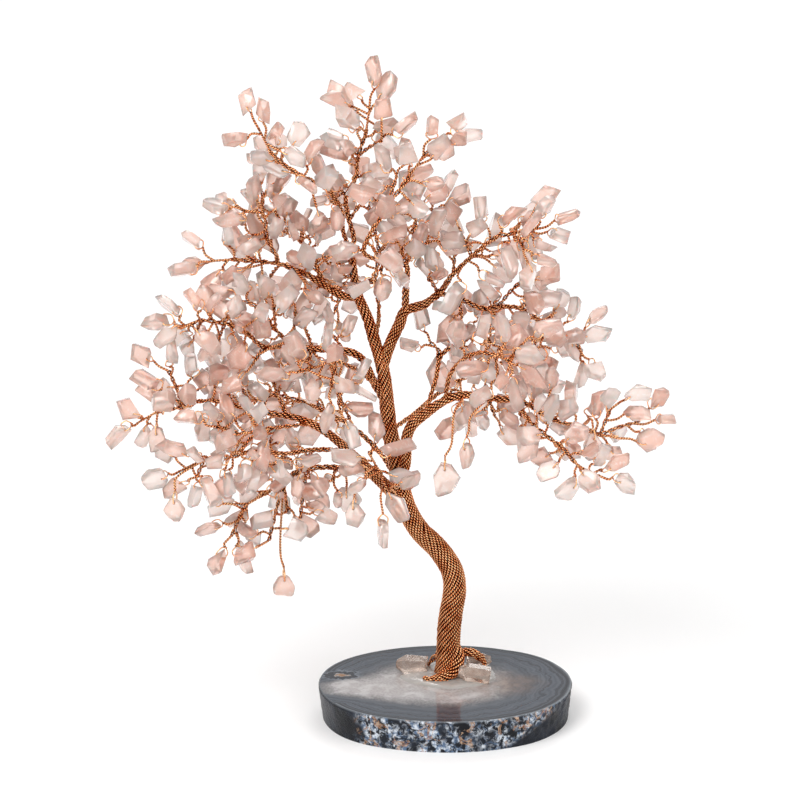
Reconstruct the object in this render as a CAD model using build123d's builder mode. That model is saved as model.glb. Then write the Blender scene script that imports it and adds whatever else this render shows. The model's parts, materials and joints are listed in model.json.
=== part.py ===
from build123d import *
import math
import os
import random

import numpy

os.makedirs("parts", exist_ok=True)

# Driving sizes of the tree, in millimetres.
tree_height = 214.0
crown_reach = 110.0
crown_half_depth = 66.0
foot_setback = 8.0

# Agate slice that the tree stands on.
slice_length = 86.0
slice_width = 79.0
slice_thickness = 11.2
slice_wall_draft = 1.6
slice_edge_chamfer = 0.7

# Puddle of clear resin and the quartz points that hold the trunk's foot.
pool_length = 33.0
pool_width = 27.0
pool_thickness = 1.3
quartz_diameter = 8.6
quartz_length = 13.5
quartz_tip_length = 4.2

# Twisted bundles of copper wire.
strand_radius = 0.24
stout_radius = 1.6
slim_radius = 0.9
trunk_radius = 4.1
trunk_flare = 1.0
leader_base_radius = 3.0
leader_tip_radius = 1.5
lay_pitch = 36.0
root_radius = 1.6
stem_radius = 0.62
twig_radius = 0.4

# Chips of rose quartz.
chip_length = 9.6
chip_width = 7.2
chip_thickness = 3.2
chip_reach = 10.5
twig_spacing = 2.0
bundled_length = 1.8
seat_gap = 0.12
chip_clearance = 0.1

# Chips that swing freely on a loop of single wire.
loop_wire_radius = 0.25
loop_hole_radius = 0.5
loop_side_gap = 0.25
loop_top_gap = 0.5
pendant_thickness = 2.4

# Heights were read along a line of sight that looks down by this angle.
sight_angle = 18.0
sight_slope = math.tan(math.radians(sight_angle))

# Shares of each outline, of half the length and half the width of the piece that it shapes.
SLICE_OUTLINE_SHARES = (
    (1.00, -0.06), (0.985, 0.24), (0.90, 0.48), (0.74, 0.72), (0.50, 0.88), (0.20, 0.985), (-0.12, 0.99),
    (-0.44, 0.90), (-0.71, 0.72), (-0.90, 0.46), (-0.985, 0.16), (-0.98, -0.14), (-0.91, -0.42), (-0.77, -0.66),
    (-0.54, -0.85), (-0.24, -0.965), (0.10, -0.995), (0.42, -0.92), (0.70, -0.75), (0.90, -0.47),
)
POOL_OUTLINE_SHARES = (
    (1.00, -0.10), (0.93, 0.34), (0.62, 0.74), (0.18, 0.98), (-0.30, 0.94), (-0.70, 0.70), (-0.96, 0.26),
    (-0.98, -0.22), (-0.72, -0.66), (-0.34, -0.92), (0.16, -1.00), (0.58, -0.82), (0.90, -0.50),
)
# Shapes of tumbled chip: shares of the length, width and thickness, then the outline.
CHIP_SHAPES = (
    ((1.00, 1.00, 1.00), ((-1.00, -0.34), (-0.50, -0.95), (0.55, -0.90), (1.00, 0.00), (0.20, 1.00), (-0.80, 0.72))),
    ((1.10, 0.86, 0.82), ((-1.00, 0.20), (-0.62, -0.80), (0.62, -1.00), (1.00, 0.35), (-0.10, 1.00))),
    ((0.86, 1.08, 1.10), ((-0.94, -0.72), (0.30, -1.00), (1.00, -0.20), (0.70, 0.82), (-0.60, 1.00))),
    ((0.98, 0.92, 0.92), ((-1.00, -0.80), (0.90, -1.00), (1.00, 0.30), (-0.30, 1.00))),
    ((0.90, 0.92, 0.80), ((-1.00, -0.70), (0.55, -1.00), (1.00, 0.45), (-0.45, 1.00))),
    ((1.18, 0.84, 0.95), ((-1.00, 0.10), (-0.30, -1.00), (1.00, -0.55), (0.70, 0.85), (-0.55, 1.00))),
    ((1.06, 1.10, 1.05), ((-1.00, -0.45), (0.40, -1.00), (1.00, 0.20), (-0.20, 1.00))),
    ((0.84, 0.88, 1.00), ((-1.00, -0.60), (0.40, -1.00), (1.00, 0.60), (-0.60, 1.00))),
)
PENDANT_OUTLINE_SHARES = ((-0.36, 1.00), (0.36, 1.00), (0.96, 0.22), (0.52, -0.86), (-0.52, -0.86), (-0.96, 0.22))

# Each limb: what it leaves and at which point, its own points, and its sprays of chips. All places are shares:
# across of the crown's reach, depth of its half depth (back is positive), up of the tree's height.
# A spray: the limb's point, its own fork or None, its chips' headings in degrees as seen from the front
# (0 is right, 90 is up), and the share of the chips' reach.
TRUNK_SHARES = (
    (0.012, 0.00, 0.000), (0.012, 0.00, 0.060), (0.018, -0.01, 0.100), (0.030, -0.02, 0.140),
    (0.022, -0.02, 0.175), (-0.020, -0.01, 0.210), (-0.080, 0.01, 0.243), (-0.118, 0.02, 0.280),
    (-0.137, 0.02, 0.320), (-0.150, 0.01, 0.365),
)
LEADER_SHARES = (
    (-0.168, 0.00, 0.405), (-0.176, 0.00, 0.450), (-0.190, 0.01, 0.510), (-0.212, 0.02, 0.550),
    (-0.235, 0.03, 0.590), (-0.262, 0.03, 0.625), (-0.278, 0.02, 0.665), (-0.285, 0.02, 0.700),
)
LIMBS = {
    "right_low": (
        ("trunk", 8),
        ((-0.119, -0.04, 0.355), (-0.117, -0.07, 0.390), (-0.100, -0.08, 0.414), (-0.060, -0.09, 0.433),
         (0.000, -0.12, 0.455), (0.060, -0.14, 0.464), (0.130, -0.16, 0.459), (0.215, -0.20, 0.455),
         (0.255, -0.22, 0.447), (0.320, -0.24, 0.425), (0.410, -0.26, 0.411), (0.470, -0.27, 0.399),
         (0.525, -0.27, 0.393)),
        (
            (13, None, (352, 318, 25), 1.0),
            (12, None, (290, 75), 0.9),
            (12, (0.500, -0.22, 0.440), (40, 85), 1.1),
            (12, (0.585, -0.20, 0.420), (40, 355), 1.1),
            (11, None, (22, 80), 1.0),
            (10, None, (20,), 0.95),
            (9, None, (45, 335), 0.95),
            (7, None, (268,), 0.95),
            (6, None, (150, 280), 0.7),
        ),
    ),
    "left_low": (
        ("trunk", 7),
        ((-0.175, -0.04, 0.312), (-0.230, -0.08, 0.340), (-0.295, -0.12, 0.373), (-0.345, -0.14, 0.397),
         (-0.405, -0.16, 0.417), (-0.480, -0.17, 0.430), (-0.560, -0.18, 0.436), (-0.640, -0.19, 0.447),
         (-0.725, -0.20, 0.455), (-0.790, -0.21, 0.444), (-0.860, -0.22, 0.438), (-0.925, -0.22, 0.420)),
        (
            (12, None, (212, 168, 245), 0.8),
            (10, (-0.835, -0.22, 0.462), (150, 178), 0.85),
            (10, (-0.770, -0.18, 0.480), (175, 100), 0.9),
            (10, (-0.835, -0.24, 0.503), (152, 80), 1.0),
            (9, None, (290, 75), 0.95),
            (8, None, (270,), 1.0),
            (7, None, (280,), 0.9),
        ),
    ),
    "right_high": (
        ("leader", 2),
        ((-0.168, 0.01, 0.545), (-0.138, 0.01, 0.580), (-0.120, 0.01, 0.602), (-0.060, 0.04, 0.613),
         (-0.020, 0.05, 0.630), (0.025, 0.04, 0.662), (0.080, 0.02, 0.690), (0.150, -0.02, 0.720),
         (0.205, -0.05, 0.728), (0.270, -0.07, 0.734)),
        (
            (10, None, (15, 335), 1.1),
            (10, None, (60,), 0.8),
            (9, None, (290,), 0.95),
            (8, None, (48, 98), 1.0),
            (7, None, (4,), 1.1),
            (7, (0.055, 0.06, 0.722), (110, 60), 0.8),
            (7, (0.120, 0.26, 0.690), (20, 330), 0.9),
            (9, (0.200, 0.22, 0.735), (30, 350), 0.8),
        ),
    ),
    "left_mid": (
        ("leader", 1),
        ((-0.213, -0.03, 0.482), (-0.252, -0.06, 0.523), (-0.310, -0.08, 0.537), (-0.400, -0.10, 0.540),
         (-0.460, -0.11, 0.547), (-0.512, -0.12, 0.570), (-0.545, -0.13, 0.600)),
        (
            (7, None, (80, 110, 50), 0.95),
            (7, (-0.600, -0.18, 0.616), (172, 110), 0.9),
            (6, None, (170,), 0.85),
            (6, (-0.520, 0.10, 0.610), (100, 60), 0.9),
        ),
    ),
    "left_up": (
        ("leader", 5),
        ((-0.315, 0.02, 0.627), (-0.368, 0.02, 0.645), (-0.430, 0.02, 0.663), (-0.500, 0.02, 0.678),
         (-0.575, 0.02, 0.683), (-0.655, 0.00, 0.685), (-0.715, -0.01, 0.682)),
        (
            (7, None, (180, 150), 0.95),
            (6, None, (225, 95), 1.0),
            (5, None, (148, 100), 1.0),
            (5, None, (225,), 0.95),
            (4, None, (125, 290), 0.95),
            (3, None, (60,), 0.8),
            (2, None, (215,), 0.85),
        ),
    ),
    "crest_left": (
        ("leader", 7),
        ((-0.308, -0.02, 0.730), (-0.314, -0.05, 0.765), (-0.355, -0.10, 0.798), (-0.440, -0.16, 0.823),
         (-0.512, -0.20, 0.850), (-0.560, -0.22, 0.895)),
        (
            (6, None, (125, 170, 85), 0.95),
            (5, None, (76, 48), 0.95),
            (4, None, (174, 62), 0.9),
            (3, None, (127, 98), 0.8),
        ),
    ),
    "crest_top": (
        ("leader", 7),
        ((-0.276, 0.05, 0.720), (-0.290, 0.08, 0.750), (-0.300, 0.08, 0.785), (-0.272, 0.07, 0.818),
         (-0.262, 0.05, 0.855), (-0.240, 0.03, 0.892), (-0.228, 0.02, 0.930)),
        (
            (7, None, (88, 60), 1.1),
            (7, None, (128, 155), 1.0),
            (6, None, (138, 20), 0.9),
            (5, (-0.192, -0.08, 0.878), (92, 58), 1.0),
            (5, None, (150,), 0.9),
            (4, None, (12, 55), 0.8),
            (3, None, (115,), 0.9),
        ),
    ),
    "crest_right": (
        ("right_high", 3),
        ((-0.119, -0.03, 0.640), (-0.120, -0.06, 0.675), (-0.180, -0.12, 0.681), (-0.243, -0.16, 0.694),
         (-0.232, -0.18, 0.720), (-0.172, -0.18, 0.772), (-0.108, -0.16, 0.820), (-0.066, -0.14, 0.853)),
        (
            (8, None, (84, 45), 1.0),
            (8, (-0.010, -0.10, 0.875), (60, 10), 0.95),
            (7, None, (92,), 0.95),
            (6, None, (150, 20), 0.8),
            (5, None, (15,), 0.8),
            (2, (-0.135, -0.02, 0.705), (115, 60), 0.8),
        ),
    ),
    "crest_core": (
        ("crest_right", 2),
        ((-0.100, 0.02, 0.700), (-0.092, 0.10, 0.735), (-0.085, 0.14, 0.770)),
        (
            (3, None, (45, 100), 0.95),
            (2, None, (20,), 0.95),
            (3, (-0.130, 0.26, 0.775), (150, 100), 0.85),
        ),
    ),
    "right_mid": (
        ("right_high", 5),
        ((0.045, 0.08, 0.622), (0.110, 0.12, 0.606), (0.160, 0.14, 0.608), (0.230, 0.16, 0.606),
         (0.310, 0.18, 0.580), (0.385, 0.18, 0.563)),
        (
            (6, None, (5, 300), 0.8),
            (5, None, (60,), 0.95),
            (4, None, (28, 8), 0.85),
            (3, (0.225, 0.10, 0.648), (10, 340), 0.95),
            (3, None, (128,), 0.9),
            (6, (0.415, 0.14, 0.533), (262, 300), 0.9),
            (1, (0.050, 0.02, 0.590), (265, 225), 0.75),
        ),
    ),
    "right_inner": (
        ("right_low", 4),
        ((-0.028, -0.06, 0.490), (-0.010, 0.05, 0.530), (0.050, 0.10, 0.550), (0.105, 0.14, 0.568),
         (0.160, 0.18, 0.575)),
        (
            (5, None, (30, 350), 0.95),
            (4, None, (85, 10), 0.9),
            (3, None, (92, 150), 0.9),
        ),
    ),
    "right_fore": (
        ("right_low", 5),
        ((0.018, -0.20, 0.500), (0.080, -0.28, 0.530), (0.150, -0.34, 0.530), (0.190, -0.36, 0.518)),
        (
            (4, None, (340, 12), 0.95),
            (4, None, (296,), 1.1),
            (3, None, (270, 320), 0.85),
            (2, None, (262,), 0.85),
            (3, (0.160, -0.32, 0.490), (200, 318), 0.85),
        ),
    ),
    "right_droop": (
        ("right_low", 8),
        ((0.250, -0.30, 0.425), (0.300, -0.36, 0.400), (0.355, -0.40, 0.377), (0.400, -0.42, 0.350),
         (0.465, -0.42, 0.332)),
        (
            (5, None, (340, 28), 0.9),
            (4, None, (252, 300), 0.85),
            (3, None, (215, 50), 0.85),
            (2, None, (60, 245), 0.85),
            (1, None, (255, 30), 0.85),
        ),
    ),
    "left_far": (
        ("left_mid", 5),
        ((-0.545, -0.20, 0.542), (-0.600, -0.24, 0.565), (-0.665, -0.26, 0.580), (-0.735, -0.26, 0.585),
         (-0.785, -0.26, 0.577)),
        (
            (5, None, (178, 215), 0.95),
            (5, None, (150,), 0.85),
            (4, None, (118,), 0.9),
            (3, None, (60, 300), 0.9),
            (2, None, (250,), 0.85),
            (4, (-0.760, -0.14, 0.555), (250, 290), 0.9),
        ),
    ),
    "left_fore": (
        ("left_mid", 1),
        ((-0.268, -0.14, 0.505), (-0.335, -0.24, 0.518), (-0.395, -0.32, 0.508)),
        (
            (3, None, (150, 195), 0.95),
            (2, None, (278, 230), 0.8),
            (3, (-0.445, -0.38, 0.500), (170, 120), 0.9),
            (2, (-0.318, -0.28, 0.440), (298, 322), 0.9),
        ),
    ),
    "left_rise": (
        ("left_up", 4),
        ((-0.538, 0.00, 0.720), (-0.550, -0.03, 0.758), (-0.610, -0.04, 0.765)),
        (
            (3, None, (153, 185), 0.95),
            (2, None, (96,), 0.9),
            (2, (-0.553, 0.04, 0.795), (100, 60), 0.9),
            (1, None, (150, 100), 0.95),
        ),
    ),
    "left_top": (
        ("left_up", 2),
        ((-0.395, 0.05, 0.682), (-0.430, 0.07, 0.712), (-0.490, 0.08, 0.732)),
        (
            (3, None, (85, 130), 0.95),
            (2, None, (100,), 0.95),
            (1, None, (18,), 0.95),
            (3, (-0.515, 0.10, 0.765), (100, 60), 0.85),
        ),
    ),
    "left_inner": (
        ("left_low", 6),
        ((-0.508, -0.10, 0.462), (-0.550, -0.05, 0.460), (-0.590, -0.02, 0.452)),
        (
            (3, None, (170, 130), 0.95),
            (3, (-0.640, 0.10, 0.490), (100, 150), 0.95),
        ),
    ),
    "left_shelf": (
        ("left_low", 5),
        ((-0.500, -0.26, 0.411), (-0.560, -0.32, 0.407), (-0.620, -0.36, 0.400)),
        (
            (3, None, (180, 150), 0.95),
            (2, None, (130, 250), 0.95),
            (3, (-0.690, -0.36, 0.412), (170, 120), 0.95),
            (2, (-0.620, -0.42, 0.372), (200, 260), 0.9),
        ),
    ),
    "left_droop": (
        ("left_low", 3),
        ((-0.400, -0.20, 0.374), (-0.480, -0.26, 0.368), (-0.580, -0.30, 0.371), (-0.660, -0.32, 0.361),
         (-0.730, -0.33, 0.357), (-0.800, -0.34, 0.340)),
        (
            (6, None, (207, 160), 1.0),
            (5, None, (160,), 1.0),
            (5, (-0.750, -0.30, 0.330), (200, 250), 0.9),
            (4, None, (262,), 1.0),
            (3, None, (262, 300), 0.95),
            (2, (-0.520, -0.20, 0.350), (220, 270), 0.85),
        ),
    ),
    "left_skirt": (
        ("left_low", 2),
        ((-0.330, -0.04, 0.345), (-0.420, -0.02, 0.342), (-0.490, -0.02, 0.322), (-0.550, -0.04, 0.300),
         (-0.600, -0.06, 0.285)),
        (
            (5, None, (180, 225), 0.95),
            (5, (-0.630, -0.08, 0.258), (200, 290), 0.95),
            (5, (-0.650, -0.10, 0.232), (228, 300), 1.0),
            (4, None, (150,), 0.9),
            (3, None, (100,), 0.9),
            (3, (-0.480, -0.06, 0.272), (200, 320), 0.95),
            (3, (-0.535, -0.10, 0.225), (215, 150), 0.95),
        ),
    ),
    "front_spur": (
        ("left_low", 1),
        ((-0.182, -0.16, 0.318), (-0.200, -0.22, 0.340), (-0.232, -0.26, 0.370)),
        (
            (3, None, (20, 75), 0.95),
            (2, None, (345, 150), 0.9),
        ),
    ),
    "back_left": (
        ("trunk", 8),
        ((-0.200, 0.20, 0.370), (-0.280, 0.34, 0.410), (-0.380, 0.46, 0.440), (-0.480, 0.52, 0.460),
         (-0.570, 0.56, 0.470)),
        (
            (5, None, (150, 200), 1.0),
            (4, None, (120,), 1.0),
            (3, None, (250, 110), 1.0),
            (3, (-0.420, 0.68, 0.500), (90, 140), 0.95),
            (5, (-0.640, 0.40, 0.430), (180, 230), 0.95),
        ),
    ),
    "back_right": (
        ("leader", 0),
        ((-0.100, 0.20, 0.430), (-0.010, 0.38, 0.470), (0.090, 0.50, 0.500), (0.190, 0.56, 0.520)),
        (
            (4, None, (20, 330), 1.0),
            (3, None, (60, 300), 1.0),
            (4, (0.270, 0.44, 0.540), (10, 50), 0.95),
            (3, (0.130, 0.72, 0.560), (90, 40), 0.95),
        ),
    ),
    "back_high": (
        ("leader", 3),
        ((-0.200, 0.20, 0.600), (-0.210, 0.36, 0.650), (-0.200, 0.44, 0.700)),
        (
            (3, None, (60, 120), 1.0),
            (2, (-0.300, 0.46, 0.660), (150, 200), 0.95),
            (3, (-0.120, 0.48, 0.735), (30, 80), 0.95),
            (2, (-0.420, 0.50, 0.640), (180, 130), 0.95),
        ),
    ),
}
# Limbs that leave the tree as one bough share its two nodes, one of wires and one of chips.
BOUGHS = {
    "right_low": ("right_low",),
    "left_low": ("left_low", "left_inner"),
    "right_high": ("right_high",),
    "left_mid": ("left_mid", "left_far"),
    "left_high": ("left_up", "left_rise", "left_top"),
    "crest_left": ("crest_left",),
    "crest_top": ("crest_top",),
    "crest_right": ("crest_right", "crest_core"),
    "right_mid": ("right_mid",),
    "right_inner": ("right_inner",),
    "right_fore": ("right_fore",),
    "right_droop": ("right_droop",),
    "left_fore": ("left_fore",),
    "left_shelf": ("left_shelf",),
    "left_droop": ("left_droop",),
    "left_skirt": ("left_skirt",),
    "front_spur": ("front_spur",),
    "back_left": ("back_left",),
    "back_right": ("back_right",),
    "back_high": ("back_high",),
}
# Each chip that hangs free: the limb and point that its stem leaves, the stem's own points, the place of the
# chip's middle, the heading of its hinge pin seen from above, and the shares of a chip's length and width.
PENDANTS = {
    "pendant_trunk": ("front_spur", 1, ((-0.195, -0.28, 0.300),), (-0.188, -0.30, 0.236), 20, (0.95, 0.95)),
    "pendant_collar": ("front_spur", 2, ((-0.262, -0.32, 0.318),), (-0.275, -0.34, 0.265), 75, (0.95, 0.85)),
    "pendant_lowest": ("left_skirt", 3, ((-0.500, -0.02, 0.240), (-0.500, -0.03, 0.200)), (-0.490, -0.04, 0.142),
                       100, (1.10, 1.05)),
    "pendant_centre": ("right_low", 6, ((0.028, -0.24, 0.435), (0.020, -0.26, 0.385)), (0.000, -0.27, 0.322),
                       85, (1.25, 1.25)),
    "pendant_inner": ("right_low", 7, ((0.080, -0.22, 0.430), (0.072, -0.22, 0.405)), (0.065, -0.22, 0.362),
                      55, (0.95, 0.90)),
    "pendant_left": ("left_droop", 5, ((-0.810, -0.36, 0.330),), (-0.817, -0.38, 0.272), 70, (1.05, 1.00)),
    "pendant_right": ("right_low", 11, ((0.440, -0.32, 0.425),), (0.447, -0.33, 0.378), 110, (0.95, 0.95)),
    "pendant_tip": ("left_low", 11, ((-0.868, -0.30, 0.435),), (-0.872, -0.31, 0.388), 80, (0.90, 0.90)),
}

# Counts and angles of the making.
trunk_steps = 18
trunk_lobes = 7
leader_steps = 12
leader_lobes = 5
lobe_depth_share = 0.22
placing_seed = 5
placing_tries = 60
chip_draft = 12.0
step_share = 0.8
trunk_share = 0.53
flare_steps = 4
start_limit_share = 0.8
root_rise = 10.0
quartz_sit_share = 0.3
quartz_tip_slope = 29.0
pool_edge_slope = 35.0
swing_angle = 25.0
hole_inset_share = 0.22
EYE = Vector(0, -1, 0.32)


# Roots, from the middle of the trunk's foot: shares of the pool's length and width and of the roots' rise.
ROOTS = {
    "root_front": ((0.06, 0.00, 0.95), (0.10, -0.10, 0.62), (0.04, -0.22, 0.26), (-0.08, -0.27, 0.13),
                   (-0.26, -0.26, 0.12)),
    "root_right": ((0.02, 0.02, 0.70), (0.22, 0.02, 0.76), (0.33, 0.03, 0.55), (0.38, 0.05, 0.12)),
    "root_back": ((0.00, 0.02, 0.60), (-0.10, 0.20, 0.52), (-0.22, 0.27, 0.12)),
}
ROOT_SIZE_SHARES = {"root_front": 1.0, "root_right": 0.72, "root_back": 0.66}
# Quartz points: place of the shaft's end from the foot as shares of the pool's length and width, heading seen
# from above, tilt and share of the full size.
QUARTZ = {
    "quartz_left": (-0.215, 0.13, 176, 4, 0.80),
    "quartz_right": (0.42, -0.26, 178, 10, 0.80),
    "quartz_back": (0.20, 0.30, 350, 14, 0.62),
}


def place(across_share, depth_share, up_share):
    """Turn shares read from the front into a place in space."""
    depth = depth_share * crown_half_depth
    return Vector(
        across_share * crown_reach,
        foot_setback + depth,
        slice_thickness + up_share * tree_height - sight_slope * depth,
    )


def direction(heading, tilt):
    """Give the unit vector of a heading seen from the front, tilted away from the eye."""
    level = math.cos(math.radians(tilt))
    return Vector(
        math.cos(math.radians(heading)) * level,
        math.sin(math.radians(tilt)),
        math.sin(math.radians(heading)) * level,
    )


def chip_sizes(shape):
    """Give the length, width and thickness of one shape of chip."""
    shares = CHIP_SHAPES[shape][0]
    return chip_length * shares[0], chip_width * shares[1], chip_thickness * shares[2]


def square_to(along):
    """Give a unit vector at right angles to another."""
    helper = Vector(0, 1, 0) if abs(along.Y) < 0.8 else Vector(0, 0, 1)
    return along.cross(helper).normalized()


class Crowd:
    """The boxes that placed pieces fill, so that a new piece can be kept clear of them."""

    def __init__(self):
        self.centres = numpy.zeros((0, 3))
        self.halves = numpy.zeros((0, 3, 3))
        self.owners = numpy.zeros(0, dtype=object)

    def hold(self, box, owner):
        """Add a box with the name of its bough."""
        self.centres = numpy.concatenate([self.centres, box[0][None]])
        self.halves = numpy.concatenate([self.halves, box[1][None]])
        self.owners = numpy.append(self.owners, owner)

    def clear_of(self, box, friend=None):
        """Tell whether a box keeps the clearance from all others but its friend's, by the axes between them."""
        centre, own = box
        apart = numpy.linalg.norm(self.centres - centre, axis=1)
        sizes = numpy.linalg.norm(self.halves, axis=(1, 2))
        near = (apart < numpy.linalg.norm(own) + sizes + chip_clearance) & (self.owners != friend)
        if not near.any():
            return True
        between = self.centres[near] - centre
        others = self.halves[near]
        own_units = own / numpy.linalg.norm(own, axis=1, keepdims=True)
        other_units = others / numpy.linalg.norm(others, axis=2, keepdims=True)
        crossed = numpy.cross(own_units[None, :, None, :], other_units[:, None, :, :]).reshape(-1, 9, 3)
        axes = numpy.concatenate(
            [numpy.broadcast_to(own_units, (len(others), 3, 3)), other_units, crossed], axis=1
        )
        room = (
            abs(numpy.einsum("nij,nj->ni", axes, between))
            - abs(numpy.einsum("nij,kj->nik", axes, own)).sum(axis=2)
            - abs(numpy.einsum("nij,nkj->nik", axes, others)).sum(axis=2)
        )
        parted = room > chip_clearance * numpy.linalg.norm(axes, axis=2) + 1e-9
        return bool(parted.any(axis=1).all())


def box_of(centre, length, width, thickness, along, normal):
    """Give a box's middle and its three half sides."""
    side = normal.cross(along)
    halves = [along * (length / 2), side * (width / 2), normal * (thickness / 2)]
    return numpy.array(tuple(centre)), numpy.array([tuple(half) for half in halves])


def run_box(start, end, radius):
    """Give the box round one straight run of wire."""
    along = (end - start).normalized()
    return box_of((start + end) * 0.5, (end - start).length, 2 * radius, 2 * radius, along, square_to(along))


# The points of the trunk, the leader and each limb, and the chips that each stretch carries.
points_of = {
    "trunk": [place(*shares) for shares in TRUNK_SHARES],
    "leader": [place(*shares) for shares in LEADER_SHARES],
}
for limb, (origin, path_shares, sprays) in LIMBS.items():
    points_of[limb] = [points_of[origin[0]][origin[1]]] + [place(*shares) for shares in path_shares]


def strands_beyond(limb, vertex):
    """Count the chips whose wires still run in a limb past one of its points."""
    own = sum(len(spray[2]) for spray in LIMBS[limb][2] if spray[0] > vertex)
    hung = sum(1 for pendant in PENDANTS.values() if pendant[0] == limb and pendant[1] > vertex)
    offshoots = [name for name, data in LIMBS.items() if data[0][0] == limb and data[0][1] > vertex]
    return own + hung + sum(strands_beyond(name, -1) for name in offshoots)


def bundle_spans(limb):
    """Split a limb where its bundle thins, as (first point, last point, radius)."""
    last = len(points_of[limb]) - 1
    radii = [max(stem_radius, strand_radius * math.sqrt(strands_beyond(limb, k))) for k in range(last)]
    spans = [[0, 1, radii[0]]]
    for k in range(1, last):
        if radii[k] < spans[-1][2] * step_share:
            spans.append([k, k + 1, radii[k]])
        else:
            spans[-1][1] = k + 1
    return spans



def carriers_of(bough):
    """Name the bundles that a bough's wires are seated against: what it leaves and what left there before it."""
    origins = {LIMBS[limb][0] for limb in BOUGHS[bough]}
    carriers = {bough_of.get(origin[0], origin[0]) for origin in origins} - {bough}
    if carriers & {"trunk", "leader"}:
        carriers |= {"trunk", "leader"}
    earlier = list(BOUGHS)[:list(BOUGHS).index(bough)]
    siblings = {other for other in earlier if any(LIMBS[limb][0] in origins for limb in BOUGHS[other])}
    return sorted(carriers | siblings)


bough_of = {limb: bough for bough, limbs in BOUGHS.items() for limb in limbs}
wires = Crowd()
runs_held = Crowd()
twigs_held = Crowd()
twig_ends = Crowd()
stones = Crowd()
stems = {bough: [] for bough in BOUGHS}
twigs = {bough: [] for bough in BOUGHS}
chips = {bough: [] for bough in BOUGHS}

for k in range(len(TRUNK_SHARES) - 1):
    wires.hold(run_box(points_of["trunk"][k], points_of["trunk"][k + 1], trunk_radius), "trunk")
leader_line = [points_of["trunk"][-1]] + points_of["leader"]
for k in range(len(LEADER_SHARES)):
    wires.hold(run_box(leader_line[k], leader_line[k + 1], leader_base_radius), "leader")
for limb, bough in bough_of.items():
    for first, last, radius in bundle_spans(limb):
        for k in range(first, last):
            wires.hold(run_box(points_of[limb][k], points_of[limb][k + 1], radius), bough)
            runs_held.hold(run_box(points_of[limb][k], points_of[limb][k + 1], radius), limb)

# Hanging chips first: each has a stem, a loop of single wire and room to swing.
pendant_parts = {}
for name, (limb, vertex, stem_shares, middle_shares, heading, size_shares) in PENDANTS.items():
    length = chip_length * size_shares[0]
    width = chip_width * size_shares[1]
    hole_inset = 3 * loop_hole_radius
    pin = place(*middle_shares) + Vector(0, 0, length / 2 - hole_inset)
    edge_reach = math.hypot(hole_inset, PENDANT_OUTLINE_SHARES[0][0] * width / 2)
    leg_rise = edge_reach + loop_top_gap
    leg_side = pendant_thickness / 2 + loop_side_gap + loop_wire_radius
    top = pin + Vector(0, 0, leg_rise + leg_side)
    stem = [points_of[limb][vertex]] + [place(*shares) for shares in stem_shares] + [top]
    axis = Vector(math.cos(math.radians(heading)), math.sin(math.radians(heading)), 0)
    pendant_parts[name] = (pin, axis, length, width, hole_inset, leg_rise, leg_side, top)
    bough = bough_of[limb]
    stems[bough].append((stem, twig_radius))
    for k in range(len(stem) - 1):
        wires.hold(run_box(stem[k], stem[k + 1], twig_radius), bough)
        runs_held.hold(run_box(stem[k], stem[k + 1], twig_radius), name)
    swing_width = width + 2 * length * math.sin(math.radians(swing_angle))
    middle = pin - Vector(0, 0, length / 2 - hole_inset)
    stones.hold(
        box_of(middle, length + leg_rise, swing_width, 2 * leg_side + 2 * loop_wire_radius, Vector(0, 0, 1), axis),
        name,
    )

# Forks of the sprays, then their chips, each on the first heading that leaves room.
sprays_of = [
    (f"{limb} {rank}", limb, *spray)
    for limb, (origin, path_shares, sprays) in LIMBS.items()
    for rank, spray in enumerate(sprays)
]
for spray, limb, vertex, fork_shares, headings, reach_share in sprays_of:
    if fork_shares:
        stem = [points_of[limb][vertex], place(*fork_shares)]
        stems[bough_of[limb]].append((stem, stem_radius))
        wires.hold(run_box(stem[0], stem[1], stem_radius), bough_of[limb])
        runs_held.hold(run_box(stem[0], stem[1], stem_radius), spray)


def place_chip(start, heading, reach, bough, carrier, spray, rng):
    """Find room for one chip and its twig, and keep both."""
    for attempt in range(placing_tries):
        looseness = attempt / placing_tries
        along = direction(
            heading + rng.uniform(-1, 1) * (4 + 42 * looseness), rng.uniform(-1, 1) * (25 + 40 * looseness)
        )
        shape = rng.randrange(len(CHIP_SHAPES))
        length, width, thickness = chip_sizes(shape)
        hole_inset = length * hole_inset_share
        twig_end = start + along * (
            reach * rng.uniform(0.9 - 0.2 * looseness, 1.1 + 0.3 * looseness) - length / 2 + hole_inset
        )
        face_on = (EYE - along * along.dot(EYE)).normalized()
        normal = face_on.rotate(Axis((0, 0, 0), along), rng.choice((0, 180)) + rng.uniform(-80, 80))
        lengthwise = along.rotate(Axis((0, 0, 0), normal), rng.uniform(-30, 30))
        centre = (
            twig_end + lengthwise * (length / 2 - hole_inset)
            + normal * (thickness / 2 + twig_radius + seat_gap)
        )
        stone_box = box_of(centre, length, width, thickness, lengthwise, normal)
        twig_box = run_box(start, twig_end, twig_radius)
        free_box = run_box(start + along * bundled_length, twig_end, twig_radius)
        if (
            stones.clear_of(twig_box)
            and stones.clear_of(stone_box)
            and wires.clear_of(twig_box, bough)
            and runs_held.clear_of(free_box, carrier)
            and twigs_held.clear_of(free_box, spray)
            and twig_ends.clear_of(free_box)
            and twig_ends.clear_of(twig_box, spray)
            and wires.clear_of(stone_box)
        ):
            wires.hold(twig_box, bough)
            twigs_held.hold(twig_box, spray)
            twig_ends.hold(free_box, spray)
            stones.hold(stone_box, bough)
            twigs[bough].append((start, twig_end))
            chips[bough].append((shape, Plane(origin=centre, x_dir=lengthwise, z_dir=normal)))
            return


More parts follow.
